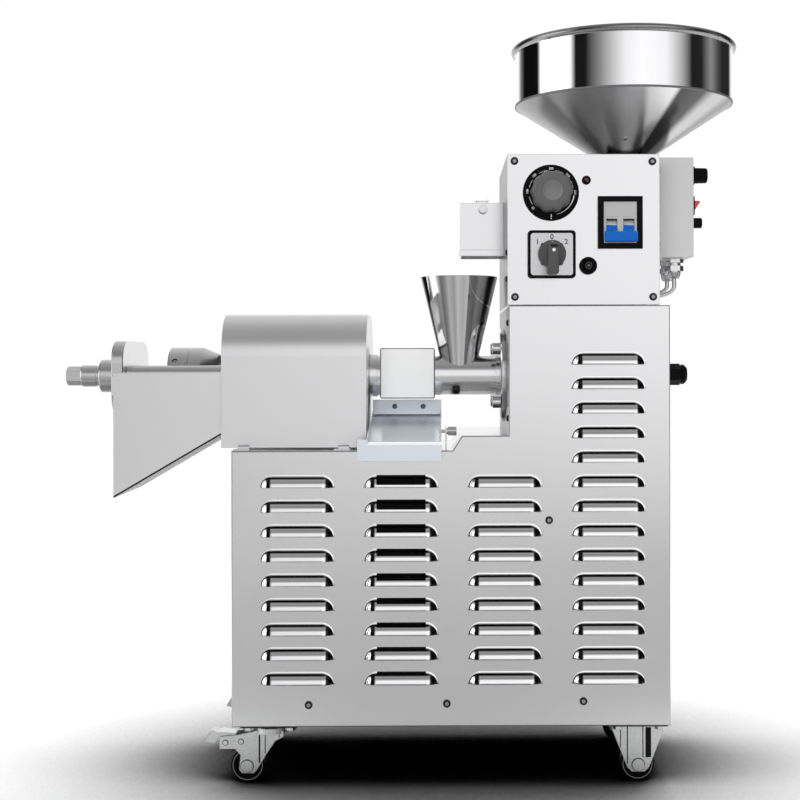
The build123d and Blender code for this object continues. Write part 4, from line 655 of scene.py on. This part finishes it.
raise_faces(bm, vs, fs, lambda x, y, h: Vector((CAM[0] + x, CAM_FACE - 0.5 - 7.2 - h + 0.02, CAM[1] + 10.9 + y)), 0.14)
bmesh.ops.recalc_face_normals(bm, faces=bm.faces)
mesh_piece("cam_marks", bm, "print_white", "cam_handle")


def bar(bm, x0, x1, z0, z1, y, h=0.12, side=-1):
    """Thin raised strip on a face at y that looks to the front (-1) or the back (+1)."""
    pts = [Vector((x0, z0, 0)), Vector((x1, z0, 0)), Vector((x1, z1, 0)), Vector((x0, z1, 0))]
    raise_faces(bm, pts, [[0, 1, 2, 3]], lambda u, v, d: Vector((u, y + side * (d - 0.02), v)), h)


def ring(bm, x, z, y, r0, r1, h=0.14, side=-1):
    turned(bm, [(r0, -0.02), (r0 + 0.05, h), (r1 - 0.05, h), (r1, -0.02)], facing(x, y, z, (0, side, 0)), 40, False, False)


# dark strip across the lever's face, painted as the shade in a notch
bm = bmesh.new()
bar(bm, CAM[0] - 3.7, CAM[0] + 3.7, CAM[1] + 5.6, CAM[1] + 8.4, CAM_FACE - 28.0)
bmesh.ops.recalc_face_normals(bm, faces=bm.faces)
mesh_piece("cam_notch", bm, "painted_gap_shade", "cam_handle")

# fixed shields at the tops of the breaker's two slots
BRK = (184.7, 613.9)
bm = bmesh.new()
for k in (-1, 1):
    x = BRK[0] + 9.3 * k
    rows = []
    for y, z in ((-110.6, 3.9), (-112.0, 3.9), (-112.3, 4.2), (-112.3, 5.7), (-112.1, 6.05), (-110.6, 6.05)):
        rows.append([(x + 6.05 * t, y, BRK[1] + z) for t in (-1, -0.5, 0, 0.5, 1)])
    grid(bm, rows + rows[:1])
bmesh.ops.remove_doubles(bm, verts=bm.verts, dist=0.001)
bmesh.ops.recalc_face_normals(bm, faces=bm.faces)
mesh_piece("breaker_shields", bm, "grey_plastic", "cabinet", smooth=30)

# lighter rings on the reset button's face, painted highlights
RESET = (149.7, 566.8)
bm = bmesh.new()
ring(bm, RESET[0], RESET[1], -117.2, 3.1, 3.6)
turned(bm, [(1.6, -0.02), (1.5, 0.12), (0.4, 0.16)], facing(RESET[0], -117.2, RESET[1], (0, -1, 0)), 24, False, True)
bmesh.ops.recalc_face_normals(bm, faces=bm.faces)
mesh_piece("reset_ring_highlights", bm, "dark_grip", "reset", smooth=40)

# bright strip along the drip tray's front bend, a painted highlight, and the seam at its back
bm = bmesh.new()
grid(bm, [[(-91.0 + 8.1 * i, y, z) for i in range(11)] for y, z in ((-117.19, 372.5), (-117.36, 373.1), (-116.3, 374.6), (-115.05, 375.66), (-114.3, 375.6))])
bmesh.ops.recalc_face_normals(bm, faces=bm.faces)
mesh_piece("tray_bend_highlight", bm, "tray_bend_painted_highlight", "cabinet", smooth=60)
bm = bmesh.new()
grid(bm, [[(-89.7 + 7.84 * i, y, z) for i in range(11)] for y, z in ((28.81, 399.1), (28.55, 399.5), (28.55, 400.4), (28.81, 400.8))])
bmesh.ops.recalc_face_normals(bm, faces=bm.faces)
mesh_piece("tray_seam", bm, "dull_screw", "cabinet", smooth=60)

# dark strips painted as the shade in the caster forks' folds, with dark rings painted round the axles and rivets
for nm, side, body in (("front", -1, "front_left_caster"), ("rear", 1, "rear_left_caster")):
    bm = bmesh.new()
    for x0, x1, z0, z1 in ((-211.6, -209.9, 22.5, 53.0), (-204.9, -203.9, 33.0, 53.0), (-189.4, -188.5, 50.0, 56.5)):
        bar(bm, x0, x1, z0, z1, side * 93.0, side=side)
    ring(bm, -224.3, 19.0, side * 93.0, 6.62, 7.4, side=side)
    for x, z in ((-248.0, 45.0), (-231.0, 46.0)):
        ring(bm, x, z, side * 93.0, 2.62, 3.3, side=side)
    bmesh.ops.recalc_face_normals(bm, faces=bm.faces)
    mesh_piece(nm + "_fork_painted_shade", bm, "fold_painted_shade", body)
bm = bmesh.new()
for side in (-1, 1):
    for x0, x1, z0, z1 in ((185.5, 186.5, 38.0, 63.8), (193.1, 194.3, 20.0, 63.8), (210.3, 211.4, 27.0, 63.8), (213.6, 219.8, 27.0, 60.0)):
        bar(bm, x0, x1, z0, z1, side * 93.0, side=side)
    ring(bm, 205.5, 19.0, side * 93.0, 6.62, 7.4, side=side)
bmesh.ops.recalc_face_normals(bm, faces=bm.faces)
mesh_piece("rigid_fork_painted_shade", bm, "fold_painted_shade", "cabinet")
# grey ring on the outer face of each wheel
for nm, x, y, side in (("front_left", -224.3, -88.5, -1), ("rear_left", -224.3, 88.5, 1), ("front_right", 205.5, -88.5, -1), ("rear_right", 205.5, 88.5, 1)):
    bm = bmesh.new()
    ring(bm, x, 19.0, y, 15.7, 16.5, side=side)
    bmesh.ops.recalc_face_normals(bm, faces=bm.faces)
    mesh_piece(nm + "_wheel_ring", bm, "wheel_ring", nm + "_roller", smooth=40)


# ------------------------------------------------------------------ small hardware
def screw_head(bm, x, y, z, d, r=3.2, h=2.0, socket=0.5):
    m = facing(x, y, z, d)
    s = r * socket
    turned(bm, [(r * 1.02, -0.05), (r * 1.02, h * 0.3), (r * 0.92, h * 0.62), (r * 0.72, h * 0.88), (s * 1.15, h), (s, h * 0.96), (s * 0.95, h * 0.25), (s * 0.2, h * 0.2)], m, 28)


bm = bmesh.new()
for y, z in ((-99.0, 505.0), (-99.0, 400.5)):
    screw_head(bm, TOWER_X0 + 0.1, y, z, (-1, 0, 0), 3.6, 2.2)
for x, d, z in ((228.0, 1, 671.0), (228.0, 1, 591.0), (62.0, -1, 582.0), (62.0, -1, 553.0)):
    screw_head(bm, x, -99.0, z, (d, 0, 0), 3.4, 2.0)
for y in (60.0,):
    for z in (671.0, 591.0, 553.0):
        screw_head(bm, 228.0, y, z, (1, 0, 0), 3.4, 2.0)
bmesh.ops.recalc_face_normals(bm, faces=bm.faces)
mesh_piece("side_screws", bm, "black_oxide_and_painted_shadow", "cabinet", smooth=35)

# rivet on the hopper's cone, by the neck
bm = bmesh.new()
cone_n = Vector((0.0, -0.543, -0.84))
screw_head(bm, 198.0, -54.4, 714.0, cone_n, 2.6, 1.3, 0.45)
bmesh.ops.recalc_face_normals(bm, faces=bm.faces)
mesh_piece("hopper_rivet", bm, "screw_steel", "cabinet", smooth=35)

# seam where the hopper's band meets its cone
bm = bmesh.new()
turned(bm, [(124.9, 759.2), (125.8, 759.55), (125.95, 760.1), (125.95, 761.3), (125.66, 761.6)], Matrix.Translation((202.5, 0.0, 0.0)), 160, False, False)
bmesh.ops.recalc_face_normals(bm, faces=bm.faces)
mesh_piece("hopper_seam", bm, "dull_screw", "cabinet", smooth=60)

# grease plug on the barrel
bm = bmesh.new()
ang = math.radians(-43)
m = facing(6.8, -22.6 * math.cos(ang), 447.0 + 22.6 * math.sin(ang), (0, -math.cos(ang), math.sin(ang)))
turned(bm, [(1.35 * r, 1.35 * h) for r, h in ((2.6, -0.4), (2.6, 0.9), (2.2, 1.3), (3.2, 1.4), (3.2, 3.6), (2.7, 4.2), (1.1, 4.2), (0.9, 2.4), (0.2, 2.3))], m, 24)
bmesh.ops.recalc_face_normals(bm, faces=bm.faces)
mesh_piece("barrel_plug", bm, "black_oxide_and_painted_shadow", "cabinet", smooth=35)

# set screw in the choke's hole
bm = bmesh.new()
m = facing(-315.0, 0.0, 447.0, (0, -math.sin(math.radians(59)), math.cos(math.radians(59))))
turned(bm, [(3.2, 24.0), (3.2, 30.4), (2.7, 31.0), (1.4, 31.0), (1.2, 29.0), (0.3, 28.8)], m, 24)
bmesh.ops.recalc_face_normals(bm, faces=bm.faces)
mesh_piece("choke_set_screw", bm, "screw_steel", "choke", smooth=35)

# dark strip along the bottom edge of the chute's walls, painted as the shadow in the seam there
bm = bmesh.new()
for s in (-1, 1):
    rows = []
    for dz, out in ((0.0, -0.05), (0.1, 0.2), (2.1, 0.2), (2.2, -0.05)):
        rows.append([(-374.5 + 119.6 * t / 10, s * (75.0 + out), 312.06 + 69.9 * t / 10 + dz) for t in range(11)])
    grid(bm, rows)
bmesh.ops.recalc_face_normals(bm, faces=bm.faces)
mesh_piece("chute_edge_shadow", bm, "painted_gap_shade", "cabinet", smooth=50)

# tread ribs on the two brake pedals
for nm, y, body in (("front", -80.0, "front_left_brake"), ("rear", 80.0, "rear_left_brake")):
    bm = bmesh.new()
    a, b = Vector((-271.3, 0, 45.5)), Vector((-263.5, 0, 58.3))
    nrm = Vector((-(b - a).z, 0, (b - a).x)).normalized()
    for t in (0.16, 0.36, 0.56, 0.76):
        rows = []
        for k, o in ((-0.065, 0.0), (-0.05, 0.55), (0.05, 0.55), (0.065, 0.0)):
            p = a + (b - a) * (t + k) + nrm * (o - 0.02)
            rows.append([(p.x, y - 8.6 + 17.2 * i / 4, p.z) for i in range(5)])
        grid(bm, rows)
    bmesh.ops.recalc_face_normals(bm, faces=bm.faces)
    mesh_piece(nm + "_pedal_ribs", bm, "zinc_plate", body, smooth=30)

# ------------------------------------------------------------------ feeder cables
for nm, y, z, length in (("front", -35.0, 536.5, 0.0609), ("rear", 15.0, 541.0, 0.0567)):
    cu = bpy.data.curves.new(nm + "_feeder_cable", "CURVE")
    cu.dimensions = "3D"
    sp = cu.splines.new("NURBS")
    route = [(256, y, 574), (256, y, 562), (256, y, z), (224, y, z)]
    sp.points.add(len(route) - 1)
    for pt, q in zip(sp.points, route):
        pt.co = (*P(*q), 1.0)
    sp.order_u, sp.use_endpoint_u = 3, True
    sp.resolution_u = 24
    cu.bevel_depth, cu.bevel_resolution = 0.0025, 6
    cu.use_fill_caps = True
    o = bpy.data.objects.new(nm + "_feeder_cable", cu)
    scene.collection.objects.link(o)
    cu.materials.append(LOOK["cable_jacket"])
    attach(o, "cabinet")
    if nm == "front":
        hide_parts("feeder_cables")

# ------------------------------------------------------------------ floor, light, world, camera
fm, nt, b = new_nodes("floor")
co = add(nt, "TexCoord").outputs["Object"]
ramp = add(nt, "ValToRGB")
ramp.color_ramp.elements[0].color, ramp.color_ramp.elements[1].color = (0.88, 0.88, 0.88, 1), (0.91, 0.91, 0.91, 1)
nt.links.new(noise(nt, co, 3.0, 4.0), ramp.inputs[0])
# painted contact shadow: ambient occlusion darkens the floor's colour near the machine
occ = add(nt, "AmbientOcclusion", samples=12)
occ.inputs["Distance"].default_value = 0.55
shade = add(nt, "ValToRGB")
el = shade.color_ramp.elements
for k in range(4):
    el.new(0.5)
for e, (at, v) in zip(el, ((0.0, 0.0), (0.46, 0.003), (0.60, 0.11), (0.76, 0.44), (0.90, 0.88), (0.96, 1.0))):
    e.position, e.color = at, (v, v, v, 1)
nt.links.new(occ.outputs["AO"], shade.inputs[0])
# painted shadow: the floor's colour darkens towards the front
painted_front_shadow = add(nt, "ValToRGB")
painted_front_shadow.color_ramp.elements[0].color, painted_front_shadow.color_ramp.elements[1].color = (0.42, 0.42, 0.42, 1), (1, 1, 1, 1)
painted_front_shadow.color_ramp.elements[0].position, painted_front_shadow.color_ramp.elements[1].position = 0.0, 1.0
sep = add(nt, "SeparateXYZ")
nt.links.new(co, sep.inputs[0])
nt.links.new(math_node(nt, "DIVIDE", math_node(nt, "ADD", sep.outputs[1], 0.50), 0.28, True), painted_front_shadow.inputs[0])
tone = ramp.outputs[0]
for other in (shade.outputs[0], painted_front_shadow.outputs[0]):
    mul = add(nt, "Mix", data_type="RGBA", blend_type="MULTIPLY")
    mul.inputs["Factor"].default_value = 1.0
    nt.links.new(tone, mul.inputs[6])
    nt.links.new(other, mul.inputs[7])
    tone = mul.outputs[2]
nt.links.new(tone, b.inputs["Base Color"])
b.inputs["Roughness"].default_value = 0.6
b.inputs["Specular IOR Level"].default_value = 0.0
bm = bmesh.new()
bmesh.ops.create_grid(bm, x_segments=8, y_segments=8, size=1.0)
for v in bm.verts:
    v.co.x, v.co.y = v.co.x * 3.2, v.co.y * 2.1 - 0.5
me = bpy.data.meshes.new("floor")
bm.to_mesh(me)
bm.free()
me.materials.append(fm)
floor = bpy.data.objects.new("floor", me)
scene.collection.objects.link(floor)

# pale paper dome behind everything; metal and light pass it by
dm, nt, b = new_nodes("paper")
b.inputs["Base Color"].default_value = (0.0, 0.0, 0.0, 1.0)
b.inputs["Specular IOR Level"].default_value = 0.0
b.inputs["Emission Strength"].default_value = 1.0
ramp = add(nt, "ValToRGB")
ramp.color_ramp.elements[0].color, ramp.color_ramp.elements[1].color = (1.0, 1.0, 1.0, 1), (1.03, 1.03, 1.03, 1)
nt.links.new(noise(nt, add(nt, "TexCoord").outputs["Object"], 0.3, 2.0), ramp.inputs[0])
nt.links.new(ramp.outputs[0], b.inputs["Emission Color"])
bm = bmesh.new()
grid(bm, [[(12.0 * math.cos(e) * math.cos(a), 12.0 * math.cos(e) * math.sin(a), 12.0 * math.sin(e)) for a in (2 * math.pi * i / 48 for i in range(48))]
          for e in (math.radians(-88 + 176 * k / 24) for k in range(25))], close=True)
me = bpy.data.meshes.new("paper")
bm.to_mesh(me)
bm.free()
me.materials.append(dm)
paper = bpy.data.objects.new("paper", me)
paper.visible_diffuse = paper.visible_glossy = paper.visible_transmission = paper.visible_volume_scatter = paper.visible_shadow = False
scene.collection.objects.link(paper)

w = bpy.data.worlds.new("studio")
scene.world = w
w.use_nodes = True
nt = w.node_tree
nt.nodes.clear()
out = nt.nodes.new("ShaderNodeOutputWorld")
bg = nt.nodes.new("ShaderNodeBackground")
nt.links.new(bg.outputs[0], out.inputs[0])
tc = nt.nodes.new("ShaderNodeTexCoord")
sep = nt.nodes.new("ShaderNodeSeparateXYZ")
nt.links.new(tc.outputs["Generated"], sep.inputs[0])


def grey_ramp(value, stops, lo, hi):
    """Grey steps along a value that runs from lo to hi."""
    r = add(nt, "ValToRGB")
    el = r.color_ramp.elements
    while len(el) < len(stops):
        el.new(0.5)
    for e, (at, v) in zip(el, stops):
        e.position = (at - lo) / (hi - lo)
        e.color = (v, v, v * 1.003, 1)
    nt.links.new(math_node(nt, "DIVIDE", math_node(nt, "SUBTRACT", value, lo), hi - lo), r.inputs[0])
    return r.outputs[0]


def blend(mode, fac, a, b):
    m = add(nt, "Mix", data_type="RGBA", blend_type=mode)
    if isinstance(fac, float):
        m.inputs["Factor"].default_value = fac
    else:
        nt.links.new(fac, m.inputs["Factor"])
    nt.links.new(a, m.inputs[6])
    nt.links.new(b, m.inputs[7])
    return m.outputs[2]


az = math_node(nt, "MULTIPLY", math_node(nt, "ARCTAN2", sep.outputs[0], math_node(nt, "MULTIPLY", sep.outputs[1], -1.0)), 180 / math.pi)
around = grey_ramp(az, [(-180, 1.03), (-154, 1.03), (-146, 0.22), (-136, 0.004), (-108, 0.004), (-101, 1.7), (-67, 1.7), (-58, 0.008), (-46, 0.01), (-30, 0.28), (-15, 0.66),
                        (-4, 0.95), (12, 1.08), (38, 1.0), (54, 0.5), (68, 0.012), (82, 0.02), (96, 0.26), (108, 0.08), (118, 0.02), (138, 0.02), (147, 0.9), (154, 1.03), (180, 1.03)], -180, 180)
fade = grey_ramp(sep.outputs[2], [(-1.0, 1.0), (0.0, 1.0), (0.42, 1.0), (0.62, 0.5), (1.0, 0.5)], -1, 1)
over = grey_ramp(sep.outputs[1], [(-0.9, 0.20), (-0.5, 0.30), (0.0, 0.40), (0.35, 0.55), (0.9, 0.75)], -1, 1)
high = grey_ramp(sep.outputs[2], [(-1.0, 0.0), (0.48, 0.0), (0.70, 1.0), (1.0, 1.0)], -1, 1)
low = grey_ramp(sep.outputs[2], [(-1.0, 0.35), (-0.24, 0.38), (-0.16, 0.52), (-0.078, 0.72), (-0.01, 1.0), (1.0, 1.0)], -1, 1)
ahead = grey_ramp(sep.outputs[1], [(-1.0, 1.0), (-0.3, 1.0), (0.1, 0.0), (1.0, 0.0)], -1, 1)
level = blend("MULTIPLY", ahead, blend("MULTIPLY", 1.0, around, fade), low)
nt.links.new(blend("MIX", high, level, over), bg.inputs[0])


def area(name, loc, target, size, power, glossy=False):
    li = bpy.data.lights.new(name, "AREA")
    li.shape, li.size, li.size_y = "RECTANGLE", size[0], size[1]
    li.energy = power
    o = bpy.data.objects.new(name, li)
    o.location = loc
    o.rotation_euler = (Vector(target) - Vector(loc)).to_track_quat("-Z", "Y").to_euler()
    o.visible_glossy = glossy
    scene.collection.objects.link(o)
    return o


area("overhead", (0.0, 0.55, 2.6), (0.0, 0.55, 0.0), (4.4, 3.0), 105)
area("front_fill", (-0.5, -3.2, 1.0), (0.0, 0.0, 0.55), (2.0, 1.4), 48)

scene.view_settings.view_transform = "Standard"
scene.view_settings.look = "None"
cam = bpy.data.cameras.new("camera")
cam.sensor_width, cam.lens = 36.0, 63.6
cam.shift_x, cam.shift_y = -0.0625, -0.05
cam.clip_start, cam.clip_end = 0.05, 60
co = bpy.data.objects.new("camera", cam)
yaw, pitch, roll = math.radians(0.5), math.radians(-0.126), math.radians(-0.11)
fw = Vector((math.sin(yaw) * math.cos(pitch), math.cos(yaw) * math.cos(pitch), -math.sin(pitch)))
rt = Vector((math.cos(yaw), -math.sin(yaw), 0.0))
upv = rt.cross(fw)
r2, u2 = rt * math.cos(roll) + upv * math.sin(roll), -rt * math.sin(roll) + upv * math.cos(roll)
co.matrix_world = Matrix.Translation((0.04172, -1.64052, 0.46112)) @ Matrix((r2, u2, -fw)).transposed().to_4x4()
scene.collection.objects.link(co)
scene.camera = co
